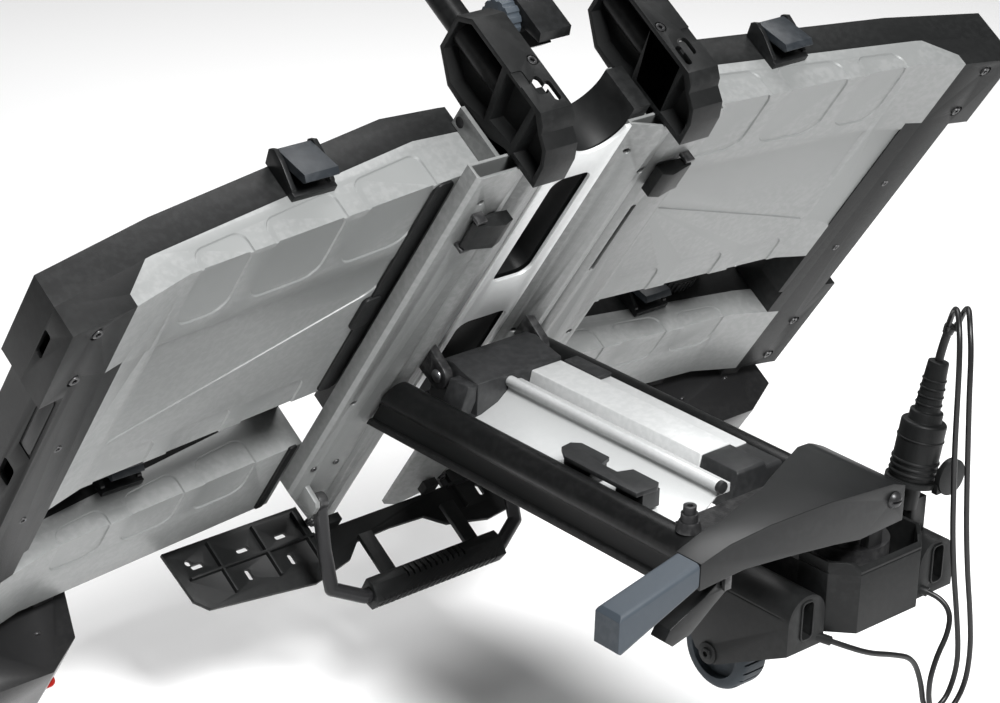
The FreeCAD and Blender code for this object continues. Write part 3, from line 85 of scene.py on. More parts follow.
def set_studio():
    scene = bpy.context.scene
    scene.view_settings.view_transform = "Standard"
    world = bpy.data.worlds.new("studio")
    world.use_nodes = True
    world.node_tree.nodes["Background"].inputs["Color"].default_value = (1.0, 1.0, 1.0, 1)
    world.node_tree.nodes["Background"].inputs["Strength"].default_value = 0.12
    scene.world = world
    area_light("key", (-0.6, -1.7, 2.7), (0, 0.3, 0.1), 1.3, 270)
    area_light("rim", (1.2, 1.6, 2.9), (0, 0.4, 0.1), 2.0, 75)
    area_light("low", (-2.4, 0.2, 0.6), (0, 0.3, 0.0), 1.2, 3)
    bpy.ops.mesh.primitive_plane_add(size=40, location=(0, 0, -0.42))
    floor = bpy.context.active_object
    floor.name = "floor"
    floor.data.materials.append(pale_floor())


# ------------------------------------------------------------------ node helpers
def new_material(name):
    material = bpy.data.materials.new(name)
    material.use_nodes = True
    material.node_tree.nodes.clear()
    output = material.node_tree.nodes.new("ShaderNodeOutputMaterial")
    shader = material.node_tree.nodes.new("ShaderNodeBsdfPrincipled")
    material.node_tree.links.new(shader.outputs["BSDF"], output.inputs["Surface"])
    return material, material.node_tree, shader


def add_node(tree, kind, **values):
    """A node with its attributes and input values set."""
    node = tree.nodes.new(kind)
    for key, value in values.items():
        if hasattr(node, key):
            setattr(node, key, value)
        else:
            node.inputs[key.replace("_", " ")].default_value = value
    return node


def ramp(tree, source, stops):
    """A colour ramp over a source, from (position, grey) stops."""
    node = tree.nodes.new("ShaderNodeValToRGB")
    node.color_ramp.elements[0].position, node.color_ramp.elements[-1].position = stops[0][0], stops[-1][0]
    for grey, element in ((stops[0][1], node.color_ramp.elements[0]),
                          (stops[-1][1], node.color_ramp.elements[-1])):
        element.color = (grey, grey, grey, 1)
    tree.links.new(source, node.inputs["Fac"])
    return node.outputs["Color"]


def group(name, inputs, outputs):
    """An empty shader group with named float or colour sockets."""
    tree = bpy.data.node_groups.new(name, "ShaderNodeTree")
    for label, kind, value in inputs:
        socket = tree.interface.new_socket(name=label, in_out="INPUT", socket_type=kind)
        socket.default_value = value
    for label, kind in outputs:
        tree.interface.new_socket(name=label, in_out="OUTPUT", socket_type=kind)
    return tree, tree.nodes.new("NodeGroupInput"), tree.nodes.new("NodeGroupOutput")


def surface_wear():
    """Mottling of a made surface: lighter worn edges, faint dust, uneven gloss and a fine height."""
    tree, given, result = group("surface wear", [
        ("Color", "NodeSocketColor", (0.1, 0.1, 0.1, 1)), ("Worn Color", "NodeSocketColor", (0.3, 0.3, 0.3, 1)),
        ("Edge", "NodeSocketFloat", 0.4), ("Cloud Scale", "NodeSocketFloat", 9.0),
        ("Cloud", "NodeSocketFloat", 0.15),
        ("Grain Scale", "NodeSocketFloat", 900.0), ("Roughness", "NodeSocketFloat", 0.5),
        ("Gloss Change", "NodeSocketFloat", 0.12)],
        [("Color", "NodeSocketColor"), ("Roughness", "NodeSocketFloat"), ("Height", "NodeSocketFloat")])
    link = tree.links.new
    place = add_node(tree, "ShaderNodeTexCoord")
    cloud = add_node(tree, "ShaderNodeTexNoise", Detail=4.0, Roughness=0.6)
    grain = add_node(tree, "ShaderNodeTexNoise", Detail=2.0)
    fleck = add_node(tree, "ShaderNodeTexNoise", Scale=140.0, Detail=3.0)
    for noise in (cloud, grain, fleck):
        link(place.outputs["Object"], noise.inputs["Vector"])
    link(given.outputs["Cloud Scale"], cloud.inputs["Scale"])
    link(given.outputs["Grain Scale"], grain.inputs["Scale"])
    geometry = add_node(tree, "ShaderNodeNewGeometry")
    edge = ramp(tree, geometry.outputs["Pointiness"], ((0.512, 0.0), (0.56, 1.0)))
    broken = add_node(tree, "ShaderNodeMath", operation="MULTIPLY")
    link(edge, broken.inputs[0])
    link(ramp(tree, fleck.outputs["Fac"], ((0.42, 0.15), (0.62, 1.0))), broken.inputs[1])
    share = add_node(tree, "ShaderNodeMath", operation="MULTIPLY")
    link(broken.outputs[0], share.inputs[0])
    link(given.outputs["Edge"], share.inputs[1])
    worn = add_node(tree, "ShaderNodeMix", data_type="RGBA")
    link(share.outputs[0], worn.inputs["Factor"])
    link(given.outputs["Color"], worn.inputs["A"])
    link(given.outputs["Worn Color"], worn.inputs["B"])
    centred = add_node(tree, "ShaderNodeMath", operation="SUBTRACT")
    link(cloud.outputs["Fac"], centred.inputs[0])
    centred.inputs[1].default_value = 0.5
    swing = add_node(tree, "ShaderNodeMath", operation="MULTIPLY_ADD")
    link(centred.outputs[0], swing.inputs[0])
    link(given.outputs["Cloud"], swing.inputs[1])
    swing.inputs[2].default_value = 1.0
    tinted = add_node(tree, "ShaderNodeVectorMath", operation="SCALE")
    link(worn.outputs["Result"], tinted.inputs[0])
    link(swing.outputs[0], tinted.inputs["Scale"])
    gloss = add_node(tree, "ShaderNodeMath", operation="MULTIPLY_ADD")
    link(centred.outputs[0], gloss.inputs[0])
    link(given.outputs["Gloss Change"], gloss.inputs[1])
    link(given.outputs["Roughness"], gloss.inputs[2])
    height = add_node(tree, "ShaderNodeMath", operation="MULTIPLY_ADD")
    link(cloud.outputs["Fac"], height.inputs[0])
    height.inputs[1].default_value = 0.3
    link(grain.outputs["Fac"], height.inputs[2])
    link(tinted.outputs[0], result.inputs["Color"])
    link(gloss.outputs[0], result.inputs["Roughness"])
    link(height.outputs[0], result.inputs["Height"])
    return tree


def drawn_lines():
    """Fine lines along P left by drawing a metal section through its die."""
    tree, given, result = group("drawn lines", [
        ("Across", "NodeSocketFloat", 900.0), ("Along", "NodeSocketFloat", 6.0)],
        [("Height", "NodeSocketFloat")])
    link = tree.links.new
    place = add_node(tree, "ShaderNodeTexCoord")
    turn = add_node(tree, "ShaderNodeMapping")
    turn.inputs["Rotation"].default_value = (TILT, 0, 0)
    link(place.outputs["Object"], turn.inputs["Vector"])
    scale = add_node(tree, "ShaderNodeCombineXYZ")
    link(given.outputs["Across"], scale.inputs["X"])
    link(given.outputs["Along"], scale.inputs["Y"])
    link(given.outputs["Across"], scale.inputs["Z"])
    stretched = add_node(tree, "ShaderNodeVectorMath", operation="MULTIPLY")
    link(turn.outputs[0], stretched.inputs[0])
    link(scale.outputs[0], stretched.inputs[1])
    lines = add_node(tree, "ShaderNodeTexNoise", Scale=1.0, Detail=2.0)
    link(stretched.outputs[0], lines.inputs["Vector"])
    link(lines.outputs["Fac"], result.inputs["Height"])
    return tree


WEAR = surface_wear()
LINES = drawn_lines()


def made_surface(name, color, worn, edge, roughness, metallic=0.0, bump=0.15, grain=900.0, cloud=0.15,
                 coat=0.0, lines=0.0, gloss_change=0.12, shine=0.5):
    """A finished material: base colour, worn edges, uneven gloss and a bump from its grain."""
    material, tree, shader = new_material(name)
    wear = add_node(tree, "ShaderNodeGroup", node_tree=WEAR)
    wear.inputs["Color"].default_value = (*color, 1)
    wear.inputs["Worn Color"].default_value = (*worn, 1)
    wear.inputs["Edge"].default_value = edge
    wear.inputs["Grain Scale"].default_value = grain
    wear.inputs["Cloud"].default_value = cloud
    wear.inputs["Roughness"].default_value = roughness
    wear.inputs["Gloss Change"].default_value = gloss_change
    tree.links.new(wear.outputs["Color"], shader.inputs["Base Color"])
    tree.links.new(wear.outputs["Roughness"], shader.inputs["Roughness"])
    height = wear.outputs["Height"]
    if lines:
        drawn = add_node(tree, "ShaderNodeGroup", node_tree=LINES)
        both = add_node(tree, "ShaderNodeMath", operation="MULTIPLY_ADD")
        tree.links.new(drawn.outputs["Height"], both.inputs[0])
        both.inputs[1].default_value = lines
        tree.links.new(height, both.inputs[2])
        height = both.outputs[0]
    relief = add_node(tree, "ShaderNodeBump", Strength=bump, Distance=0.0006)
    tree.links.new(height, relief.inputs["Height"])
    tree.links.new(relief.outputs["Normal"], shader.inputs["Normal"])
    shader.inputs["Metallic"].default_value = metallic
    shader.inputs["Specular IOR Level"].default_value = shine
    shader.inputs["Coat Weight"].default_value = coat
    shader.inputs["Coat Roughness"].default_value = 0.2
    return material


def pale_floor():
    material, tree, shader = new_material("pale floor")
    shader.inputs["Base Color"].default_value = (0.96, 0.96, 0.96, 1)
    shader.inputs["Roughness"].default_value = 0.9
    return material


FINISHES = {
    # The beams' aluminium is the drawn aluminium with its colour darkened: painted shade for the beams, which
    # lie in shade.
    "beam aluminium with painted shade": made_surface("beam aluminium darkened as painted shade", (0.15, 0.155, 0.153), (0.34, 0.34, 0.34), 0.25,
                                   0.42, 0.25, bump=0.16, grain=1200.0, cloud=0.08, lines=1.4),
    "clip": made_surface("dark blue-grey clip", (0.010, 0.0125, 0.0155), (0.04, 0.045, 0.05), 0.3, 0.46,
                         bump=0.25, grain=1500.0, cloud=0.08, shine=0.25),
    "silver_pan": made_surface("satin silver pan", (0.165, 0.171, 0.169), (0.30, 0.30, 0.30), 0.2, 0.42, 0.15,
                               bump=0.10, grain=1400.0, cloud=0.05),
    "silver_extrusion": made_surface("drawn aluminium", (0.52, 0.53, 0.53), (0.7, 0.7, 0.7), 0.3, 0.40, 0.35,
                                     bump=0.16, grain=1200.0, cloud=0.06, lines=1.4),
    "black_moulding": made_surface("black grained moulding", (0.0062, 0.0065, 0.0066), (0.024, 0.025, 0.025),
                                   0.25, 0.46, bump=0.22, grain=1500.0, cloud=0.10, shine=0.15),
    "black_gloss": made_surface("black satin moulding", (0.0060, 0.0063, 0.0065), (0.022, 0.023, 0.024), 0.25,
                                0.32, bump=0.08, grain=1300.0, cloud=0.10, shine=0.20),
    "black_tube": made_surface("black powder coat", (0.0040, 0.0042, 0.0043), (0.03, 0.03, 0.03), 0.2, 0.34,
                               bump=0.14, grain=1700.0, cloud=0.10, shine=0.12),
    "cast_black": made_surface("black coated casting", (0.012, 0.012, 0.0125), (0.06, 0.06, 0.06), 0.3, 0.50,
                               bump=0.5, grain=500.0, cloud=0.15, shine=0.22),
    "steel": made_surface("zinc plated steel", (0.42, 0.43, 0.44), (0.6, 0.6, 0.6), 0.3, 0.32, 1.0,
                          bump=0.1, grain=900.0, cloud=0.15),
    "dark_steel": made_surface("black oxide steel", (0.022, 0.022, 0.023), (0.14, 0.14, 0.14), 0.4, 0.34, 0.5,
                               bump=0.14, grain=900.0, cloud=0.2, shine=0.25),
    "grey_rubber": made_surface("blue-grey soft grip", (0.030, 0.038, 0.047), (0.07, 0.08, 0.09), 0.3, 0.52,
                                bump=0.30, grain=1800.0, cloud=0.08, shine=0.25),
    "wheel_tyre": made_surface("blue-grey tyre", (0.022, 0.028, 0.034), (0.06, 0.07, 0.08), 0.3, 0.60,
                               bump=0.35, grain=900.0, cloud=0.12, shine=0.22),
    "dark_grey_plastic": made_surface("dark grey moulding", (0.014, 0.0145, 0.015), (0.05, 0.05, 0.052), 0.25,
                                      0.42, bump=0.22, grain=1300.0, cloud=0.10, shine=0.25),
    "cable_jacket": made_surface("cable jacket", (0.0070, 0.0070, 0.0072), (0.02, 0.02, 0.02), 0.2, 0.34,
                                 bump=0.10, grain=2500.0, cloud=0.1, shine=0.25),
    "lamp_plastic": made_surface("lamp body", (0.0085, 0.0085, 0.0088), (0.03, 0.03, 0.03), 0.25, 0.30,
                                 bump=0.10, grain=1300.0, cloud=0.1, shine=0.25),
}


# ------------------------------------------------------------------ cables
TRUNK_ROUTE = [(102, 0, 194), (104.7, -0.25, 208), (107, -3, 222)]
LEFT_ROUTE = [(103, -6.2, 232), (98, -14, 250), (85, -29, 262), (71, -45, 252), (64, -54, 228),
              (63, -57, 190), (66, -57, 140), (72, -56, 92), (78, -55, 45), (86, -55, -1),
              (96, -55, -46), (104, -56, -92), (102, -56, -118), (91, -56.5, -140), (72, -57, -145.5),
              (56, -58, -134), (50, -58, -106), (36, -57, -74), (6, -56, -60), (-24, -54, -49), (-46, -46, -38),
              (-60, -36, -31)]
RIGHT_ROUTE = [(111, -10.8, 232), (109, -18, 249), (98, -32, 260), (83, -47, 252), (75, -58, 230),
               (72, -63, 190), (75, -65, 140), (80, -65, 92), (86, -65, 45), (94, -65, -1),
               (104, -65, -46), (111, -65, -90), (107, -65, -130), (82, -65, -153), (56, -66, -134),
               (51, -66, -104), (60, -65, -78), (75, -64, -58), (82, -59, -40), (79, -46, -28),
               (74, -36, -26)]


def cable(name, route, radius, node):
    """A smooth cable along its route, standing for its CAD tube."""
    curve = bpy.data.curves.new(name, "CURVE")
    curve.dimensions = "3D"
    spline = curve.splines.new("NURBS")
    spline.points.add(len(route) - 1)
    for point, (x, y, z) in zip(spline.points, route):
        point.co = (x / 1000, y / 1000, z / 1000, 1)
    spline.order_u = 3
    spline.use_endpoint_u = True
    spline.resolution_u = 10
    curve.bevel_depth = radius
    curve.bevel_resolution = 5
    curve.use_fill_caps = True
    piece = bpy.data.objects.new(name, curve)
    bpy.context.scene.collection.objects.link(piece)
    curve.materials.append(FINISHES["cable_jacket"])
    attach(piece, "chassis")
    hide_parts(node)
    return piece


def add_cables():
    trunk = cable("trunk_cable", TRUNK_ROUTE, 0.00425, "cord_trunk")
    left = cable("left_cable", LEFT_ROUTE, 0.00275, "cord_left")
    right = cable("right_cable", RIGHT_ROUTE, 0.00275, "cord_right")


# ------------------------------------------------------------------ modelling helpers
SLOTS = {part["node"]: part["material_slot"] for part in frame["record"]["subparts"]}
CORDS = ("cord_trunk", "cord_left", "cord_right")
BODY_OF = {node: body for body, nodes in frame["record"]["behaviour"]["bodies"].items() for node in nodes}


def deselect():
    bpy.ops.object.select_all(action="DESELECT")


def focus(piece):
    """Make one piece the only selected and active one."""
    deselect()
    piece.select_set(True)
    bpy.context.view_layer.objects.active = piece


def apply_modifier(piece, kind, **values):
    """Add a modifier with its values and apply it."""
    focus(piece)
    modifier = piece.modifiers.new(kind.lower(), kind)
    for key, value in values.items():
        setattr(modifier, key, value)
    bpy.ops.object.modifier_apply(modifier=modifier.name)


def editing(piece, *steps):
    """Run edit-mode steps on the whole of a piece."""
    focus(piece)
    bpy.ops.object.mode_set(mode="EDIT")
    bpy.ops.mesh.select_all(action="SELECT")
    for step in steps:
        step()
    bpy.ops.object.mode_set(mode="OBJECT")


def weld():
    bpy.ops.mesh.remove_doubles(threshold=0.00002)


def flatten():
    bpy.ops.mesh.dissolve_limited(angle_limit=math.radians(0.6))


def outward():
    bpy.ops.mesh.normals_make_consistent(inside=False)


def copy_of(node):
    """A merged copy of a CAD node's mesh, free to be worked on."""
    source = frame["nodes"][node]
    piece = bpy.data.objects.new("soft_" + node, source.data.copy())
    bpy.context.scene.collection.objects.link(piece)
    piece.matrix_world = source.matrix_world.copy()
    editing(piece, weld, flatten)
    return piece


def place(piece, body, slot_name):
    """Give a finished piece its finish, its body and its slot."""
    piece.data.materials.clear()
    piece.data.materials.append(FINISHES[slot_name])
    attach(piece, body)


def soften(piece, width=0.001, segments=2, angle=34):
    """Round the hard edges a little and shade the rest smooth."""
    apply_modifier(piece, "BEVEL", width=width, segments=segments, limit_method="ANGLE",
                   angle_limit=math.radians(angle), use_clamp_overlap=True, miter_outer="MITER_ARC")
    focus(piece)
    bpy.ops.object.shade_smooth_by_angle(angle=math.radians(32))


def shift(piece, matrix):
    """Move a piece's mesh, so that its object stays at the origin."""
    piece.data.transform(matrix @ piece.matrix_world)
    piece.matrix_world = Matrix.Identity(4)


def round_edges(piece, wanted, radius, segments):
    """Bevel the edges whose two ends pass a test."""
    focus(piece)
    bpy.ops.object.mode_set(mode="EDIT")
    bpy.ops.mesh.select_mode(type="EDGE")
    bpy.ops.mesh.select_all(action="DESELECT")
    bpy.ops.object.mode_set(mode="OBJECT")
    for edge in piece.data.edges:
        first, second = (piece.data.vertices[v].co for v in edge.vertices)
        edge.select = wanted(first, second)
    bpy.ops.object.mode_set(mode="EDIT")
    bpy.ops.mesh.bevel(offset=radius / 1000, segments=segments, affect="EDGES")
    bpy.ops.object.mode_set(mode="OBJECT")


def box(x0, x1, y0, y1, z0, z1, corner=0.0, axis="Z", segments=5):
    """A box between two corners in millimetres, its edges along one axis rounded."""
    deselect()
    centre = [(low + high) / 2000 for low, high in ((x0, x1), (y0, y1), (z0, z1))]
    bpy.ops.mesh.primitive_cube_add(size=0.001, location=centre,
                                    scale=(abs(x1 - x0), abs(y1 - y0), abs(z1 - z0)))
    piece = bpy.context.active_object
    bpy.ops.object.transform_apply(location=True, rotation=False, scale=True)
    if corner:
        way = "XYZ".index(axis)
        span = 0.9 * abs((x1 - x0, y1 - y0, z1 - z0)[way]) / 1000
        round_edges(piece, lambda first, second: abs(first[way] - second[way]) > span, corner, segments)
    return piece


def disc(place, radius, length, axis="Z", sides=32):
    """A round bar centred at a place in millimetres, along an axis."""
    deselect()
    turn = {"X": (0, math.pi / 2, 0), "Y": (math.pi / 2, 0, 0), "Z": (0, 0, 0)}[axis]
    bpy.ops.mesh.primitive_cylinder_add(vertices=sides, radius=radius / 1000, depth=length / 1000,
                                        location=[c / 1000 for c in place], rotation=turn)
    piece = bpy.context.active_object
    shift(piece, Matrix.Identity(4))
    return piece


def taper(piece, axis, end, by):
    """Draw in the face at one end of an axis by a distance all round."""
    way = "XYZ".index(axis)
    points = [v.co[way] for v in piece.data.vertices]
    limit = max(points) if end > 0 else min(points)
    others = [w for w in range(3) if w != way]
    middle = [(max(v.co[w] for v in piece.data.vertices) + min(v.co[w] for v in piece.data.vertices)) / 2
              for w in range(3)]
    half = [max(v.co[w] for v in piece.data.vertices) - middle[w] for w in range(3)]
    for vertex in piece.data.vertices:
        if abs(vertex.co[way] - limit) < 0.00001:
            for w in others:
                share = 1 - by / 1000 / half[w]
                vertex.co[w] = middle[w] + (vertex.co[w] - middle[w]) * share
    return piece


def mirror_piece(piece):
    """The same shape on the other side of the centre plane."""
    twin = piece.copy()
    twin.data = piece.data.copy()
    bpy.context.scene.collection.objects.link(twin)
    shift(twin, Matrix.Scale(-1, 4, (1, 0, 0)))
    editing(twin, outward)
    return twin


def both_sides(pieces):
    return {"right": pieces, "left": [mirror_piece(piece) for piece in pieces]}


def carve(piece, tools, way="DIFFERENCE"):
    """Cut each tool out of a piece, or join it on, and drop the tool."""
    for tool in tools:
        apply_modifier(piece, "BOOLEAN", operation=way, object=tool, solver="EXACT")
        bpy.data.objects.remove(tool)


def joined(name, pieces):
    """Several pieces as one object."""
    deselect()
    for piece in pieces:
        piece.select_set(True)
    bpy.context.view_layer.objects.active = pieces[0]
    bpy.ops.object.join()
    pieces[0].name = name
    return pieces[0]


def level(node):
    """A merged copy of a deck node, turned back to the level deck."""
    piece = copy_of(node)
    shift(piece, deck_matrix().inverted())
    return piece


def finished(piece, node, width=0.0011, segments=2, on_deck=True, body=None):
    """Tilt a reworked node back, soften it and let it stand for the node."""
    if on_deck:
        shift(piece, deck_matrix())
    soften(piece, width, segments)
    place(piece, body or BODY_OF[node], SLOTS[node])
    if node in OWN_FINISH:
        piece.data.materials.clear()
        piece.data.materials.append(FINISHES[OWN_FINISH[node]])
    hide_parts(node)
    DONE.add(node)


def detail(name, pieces, body, slot_name, on_deck=True, width=0.0005):
    """Small pieces joined into one, softened, riding a body."""
    piece = joined(name, pieces)
    if on_deck:
        shift(piece, deck_matrix())
    soften(piece, width)
    place(piece, body, slot_name)
    return piece


DONE = set()
# The beams take the darkened aluminium copy, which is painted shade; the levers take the clip finish.
OWN_FINISH = {"right_beam": "beam aluminium with painted shade", "left_beam": "beam aluminium with painted shade",
              "right_front_lever": "clip", "left_front_lever": "clip", "right_strap_lever": "clip",
              "left_strap_lever": "clip"}


# ------------------------------------------------------------------ tray pans
FLOOR_LINE = ((117, -20), (157, -21.5), (480, -43), (545, -59), (618, -70))
SEAM_LINE = ((117, 26.5), (126, 27), (177, 29.5), (502, -13.5), (618, -37))
TOP_LINE = ((117, 57.5), (126, 58.5), (195, 63), (485, 25), (618, -1))
PRESSING = 1.5               # depth of the pressed pockets in the pans


def height_on(line, x):
    for (x0, h0), (x1, h1) in zip(line, line[1:]):
        if x0 <= x <= x1:
            return h0 + (h1 - h0) * (x - x0) / (x1 - x0)
    return line[-1][1]


def along_line(piece, line, x0, x1):
    """Shear a level tool so that it follows one of the wing's lines between x0 and x1."""
    slope = (height_on(line, x1) - height_on(line, x0)) / (x1 - x0)
    base = height_on(line, x0)
    for vertex in piece.data.vertices:
        vertex.co.z += (base + slope * (vertex.co.x * 1000 - x0)) / 1000
    return piece


def pocket(x0, x1, p0, p1, line, corner=22):
    """Tool for a shallow pressed pocket with sloping sides in a pan's floor."""
    tool = box(x0, x1, p0, p1, -4, PRESSING, corner)
    taper(tool, "Z", 1, 4)
    return along_line(tool, line, x0, x1)


def wall_pocket(x0, x1, wall, low, high):
    """Tool for the part of a pocket that runs up the pan's front wall."""
    tool = box(x0, x1, wall - 4, wall + PRESSING, low, high, 14, "Y")
    taper(tool, "Y", 1, 4)
    return along_line(tool, SEAM_LINE, x0, x1)


def loop_pockets():
    """Tools for the long hairpin pressing across the main pan, on both sides of the floor's bend."""
    bend = 480
    tools = []
    for x0, x1, near, far in ((165, bend + 4, 58, 175), (bend - 4, 564, 172, 204)):
        tool = box(x0, x1, 92, 150, -4, PRESSING)
        for vertex in tool.data.vertices:
            if vertex.co.y > 0.12:
                vertex.co.y = 0.092 + (near if vertex.co.x * 1000 < (x0 + x1) / 2 else far) / 1000
        if x0 < 200:
            round_edges(tool, lambda first, second: abs(first.z - second.z) > 0.004 and first.x < 0.3, 26, 8)
        taper(tool, "Z", 1, 11)
        tools.append(along_line(tool, FLOOR_LINE, min(x0, bend), min(x1, bend)) if x0 < 200
                     else along_line(tool, FLOOR_LINE, bend, 544))
    return tools


def tray_pans():
    for side in ("right", "left"):
        pan = level(side + "_tray_shells")
        if side == "left":
            shift(pan, Matrix.Scale(-1, 4, (1, 0, 0)))
            editing(pan, outward)
        tools = []
        for x0, x1 in ((178, 272), (290, 384), (402, 470)):
            tools.append(pocket(x0, x1, -20, 82, FLOOR_LINE))
            tools.append(wall_pocket(x0, x1, -10, -80, -9))
        tools += loop_pockets()
        for x0, x1 in ((210, 285), (305, 380), (400, 470)):
            tools.append(pocket(x0, x1, 285, 345, FLOOR_LINE, 16))
            tools.append(wall_pocket(x0, x1, 443, -80, -12))
            tools.append(pocket(x0, x1, 430, 500, FLOOR_LINE, 18))
        carve(pan, tools)
        if side == "left":
            shift(pan, Matrix.Scale(-1, 4, (1, 0, 0)))
            editing(pan, outward)
        finished(pan, side + "_tray_shells", 0.0022, 3)


# ------------------------------------------------------------------ tray tops and ends
SCREW_HEAD = 3               # height of a cap screw's head


def wheel_channel(p0, p1, x0, x1):
    """Backing and tool of a wheel channel along the tray, with a wall under it."""
    backing = along_line(box(x0 - 4, x1 + 4, p0 - 3, p1 + 3, -13, -1, 6), TOP_LINE, x0, x1)
    tool = along_line(taper(box(x0, x1, p0, p1, -10, 3, 8), "Z", -1, 5), TOP_LINE, x0, x1)
    return backing, tool


def tray_tops():
    for side in ("right", "left"):
        top = level(side + "_wing_top")
        if side == "left":
            shift(top, Matrix.Scale(-1, 4, (1, 0, 0)))
            editing(top, outward)
        for p0, p1 in ((40, 96), (226, 282), (474, 530)):
            for x0, x1 in ((205, 480), (492, 580)):
                backing, tool = wheel_channel(p0, p1, x0, x1)
                carve(top, [backing], "UNION")
                carve(top, [tool])
        grooves = [along_line(box(x, x + 3, 110, 212, -1.2, 3), TOP_LINE, 205, 480)
                   for x in range(215, 470, 21)]
        carve(top, grooves)
        slots = [along_line(box(x0, x0 + 34, p0, p0 + 9, -20, 6, 4), TOP_LINE, 205, 480)
                 for x0 in (250, 400) for p0 in (18, 308)]
        carve(top, slots)
        if side == "left":
            shift(top, Matrix.Scale(-1, 4, (1, 0, 0)))
            editing(top, outward)
        finished(top, side + "_wing_top", 0.0016, 3)


def screw(place, axis, radius=5.0):
    """A cap screw's head with its hexagon drive."""
    head = disc(place, radius, SCREW_HEAD, axis)
    carve(head, [disc(place, radius * 0.5, 2 * SCREW_HEAD, axis, 6)])
    return head


def wing_screws():
    spots = ((584, 7, -64.5, 5.5), (586, 75, -65, 5.5), (560, 200, -60.5, 4.5), (560, 320, -60.5, 4.5),
             (583, 470, -64.5, 5.5), (583, 540, -64.5, 5.5), (462, 583, -64, 4.5), (540, 583, -58, 4.5))
    for side, pieces in both_sides([screw((x, p, h), "Z", radius) for x, p, h, radius in spots]).items():
        detail(side + "_end_screws", pieces, "wing_" + side, "dark_steel")


def end_caps():
    for side in ("right", "left"):
        end = level(side + "_end_moulding")
        sign = 1 if side == "right" else -1
        tools = []
        for x, p in ((584, 7), (586, 75), (583, 470), (583, 540)):
            tools.append(disc((sign * x, p, -68), 8, 8))
        tools.append(box(sign * 606, sign * 622, 20, 52, -48, -38, 3, "X"))
        tools += [box(sign * 582, sign * 592, p, p + 26, -52, -34, 4, "X") for p in (235, 285, 335, 385)]
        carve(end, tools)
        finished(end, side + "_end_moulding", 0.0022, 3)
    for side, pieces in both_sides([box(588.9, 589.6, 116, 200, -59.5, -44.5, 4, "X")]).items():
        detail(side + "_badge_plate", pieces, "wing_" + side, "dark_grey_plastic")


def inner_strips():
    """Black edge strip along each pan beside the beam, with its raised pad."""
    sizes = ((158, 183, -9, 331, -2.6, 1.0, 9), (170, 193, 166, 215, -4.6, 0.0, 6),
             (158, 170, 440, 558, -2.6, 1.0, 4))
    strips = [along_line(box(*size), FLOOR_LINE, size[0], 480) for size in sizes]
    for side, pieces in both_sides(strips).items():
        detail(side + "_inner_strip", pieces, "wing_" + side, "black_moulding", width=0.0009)


# ------------------------------------------------------------------ deck
def beams():
    for side, sign, holes, slots in (
            ("right", 1, ((85, 28, 5.5), (56, -1, 4), (60, 300, 4), (150, 330, 4)), ((110, 117, 94, 206),)),
            ("left", -1, ((117, 29, 5.5), (142, 0, 4), (60, 300, 4), (150, 330, 4)), ())):
        beam = level(side + "_beam")
        tools = [disc((sign * x, p, -50), radius, 30) for x, p, radius in holes]
        tools += [disc((sign * 93, 588, -50), 7, 30)]
        tools += [box(sign * x0, sign * x1, p0, p1, -60, -40, 3) for x0, x1, p0, p1 in slots]
        carve(beam, tools)
        finished(beam, side + "_beam", 0.0009)
    for side, pieces in both_sides([disc((93, 588, -46), 6.6, 6), screw((93, 588, -50.5), "Z", 4.5),
                                    screw((120, 452, -50), "Z", 4), screw((150, 452, -50), "Z", 4)]).items():
        detail(side + "_beam_bolts", pieces, "deck", "dark_steel")


def brackets():
    for side in ("right", "left"):
        sign = 1 if side == "right" else -1
        bracket = level(side + "_bracket")
        tools = [disc((sign * 84, -112, 20), 6.5, 6, "Y"),
                 box(sign * 90, sign * 104, -116, -104, -20, 2, 5, "Y"),
                 box(sign * 82, sign * 90, -116, -104, -30, -6, 3.5, "Y"),
                 box(sign * 104, sign * 120, -116, -110.5, -6, 12, 3, "Y")]
        carve(bracket, tools)
        finished(bracket, side + "_bracket", 0.0020, 3)
    for side, pieces in both_sides([screw((84, -110.8, 20), "Y", 5.0)]).items():
        detail(side + "_bracket_screw", pieces, "upright", "dark_steel")


def number_board():
    board = level("plate_board")
    tools = []
    for sign in (1, -1):
        tools += [box(sign * x, sign * (x + 16), 580, 610, -50, -44, 2.5, "Y") for x in (124, 176, 236)]
        tools += [box(sign * x, sign * (x + 7), 580, 610, -84, -70, 2.5, "Y") for x in (132, 190)]
        tools += [disc((sign * 252, 600, -40), 4, 20, "Y")]
    carve(board, tools)
    finished(board, "plate_board", 0.0010)


def pedal():
    pad = level("pedal_pad")
    grooves = [box(x, x + 2.4, 556, 592, -180, -171.6) for x in range(-84, 84, 8)]
    grooves += [box(x, x + 2.4, 554, 562, -160, -140) for x in range(-44, 44, 8)]
    carve(pad, grooves)
    finished(pad, "pedal_pad", 0.0012)


def lamp_lens():
    for side, pieces in both_sides([
            box(432, 510, 650.5, 653.5, -96, -40, 8, "Y"), box(516, 588, 650.5, 653.5, -84, -40, 8, "Y"),
            *[box(434, 508, 653, 654.4, h, h + 2.5) for h in range(-92, -44, 7)],
            *[box(x, x + 2.5, 653, 654.4, -80, -44) for x in range(522, 584, 7)]]).items():
        lens = detail(side + "_lamp_lens", pieces, "wing_" + side, "lamp_plastic")
        lens.data.materials.clear()
        lens.data.materials.append(LENS)


# ------------------------------------------------------------------ coupling
def bolt_slots():
    bolts = copy_of("coupling_bolts")
    carve(bolts, [box(-12, 8, -60, -51.5, 99.8, 102.2)])
    finished(bolts, "coupling_bolts", 0.0006, on_deck=False)


def front_case():
    case = copy_of("coupling_cover")
    tools = [box(-64, 64, -51, -49.2, 36.2, 37.4), box(-64, -61.2, -60, 12, 36.2, 37.4),
             box(61.2, 64, -60, 12, 36.2, 37.4)]
    carve(case, tools)
    finished(case, "coupling_cover", 0.0014, 3, on_deck=False)


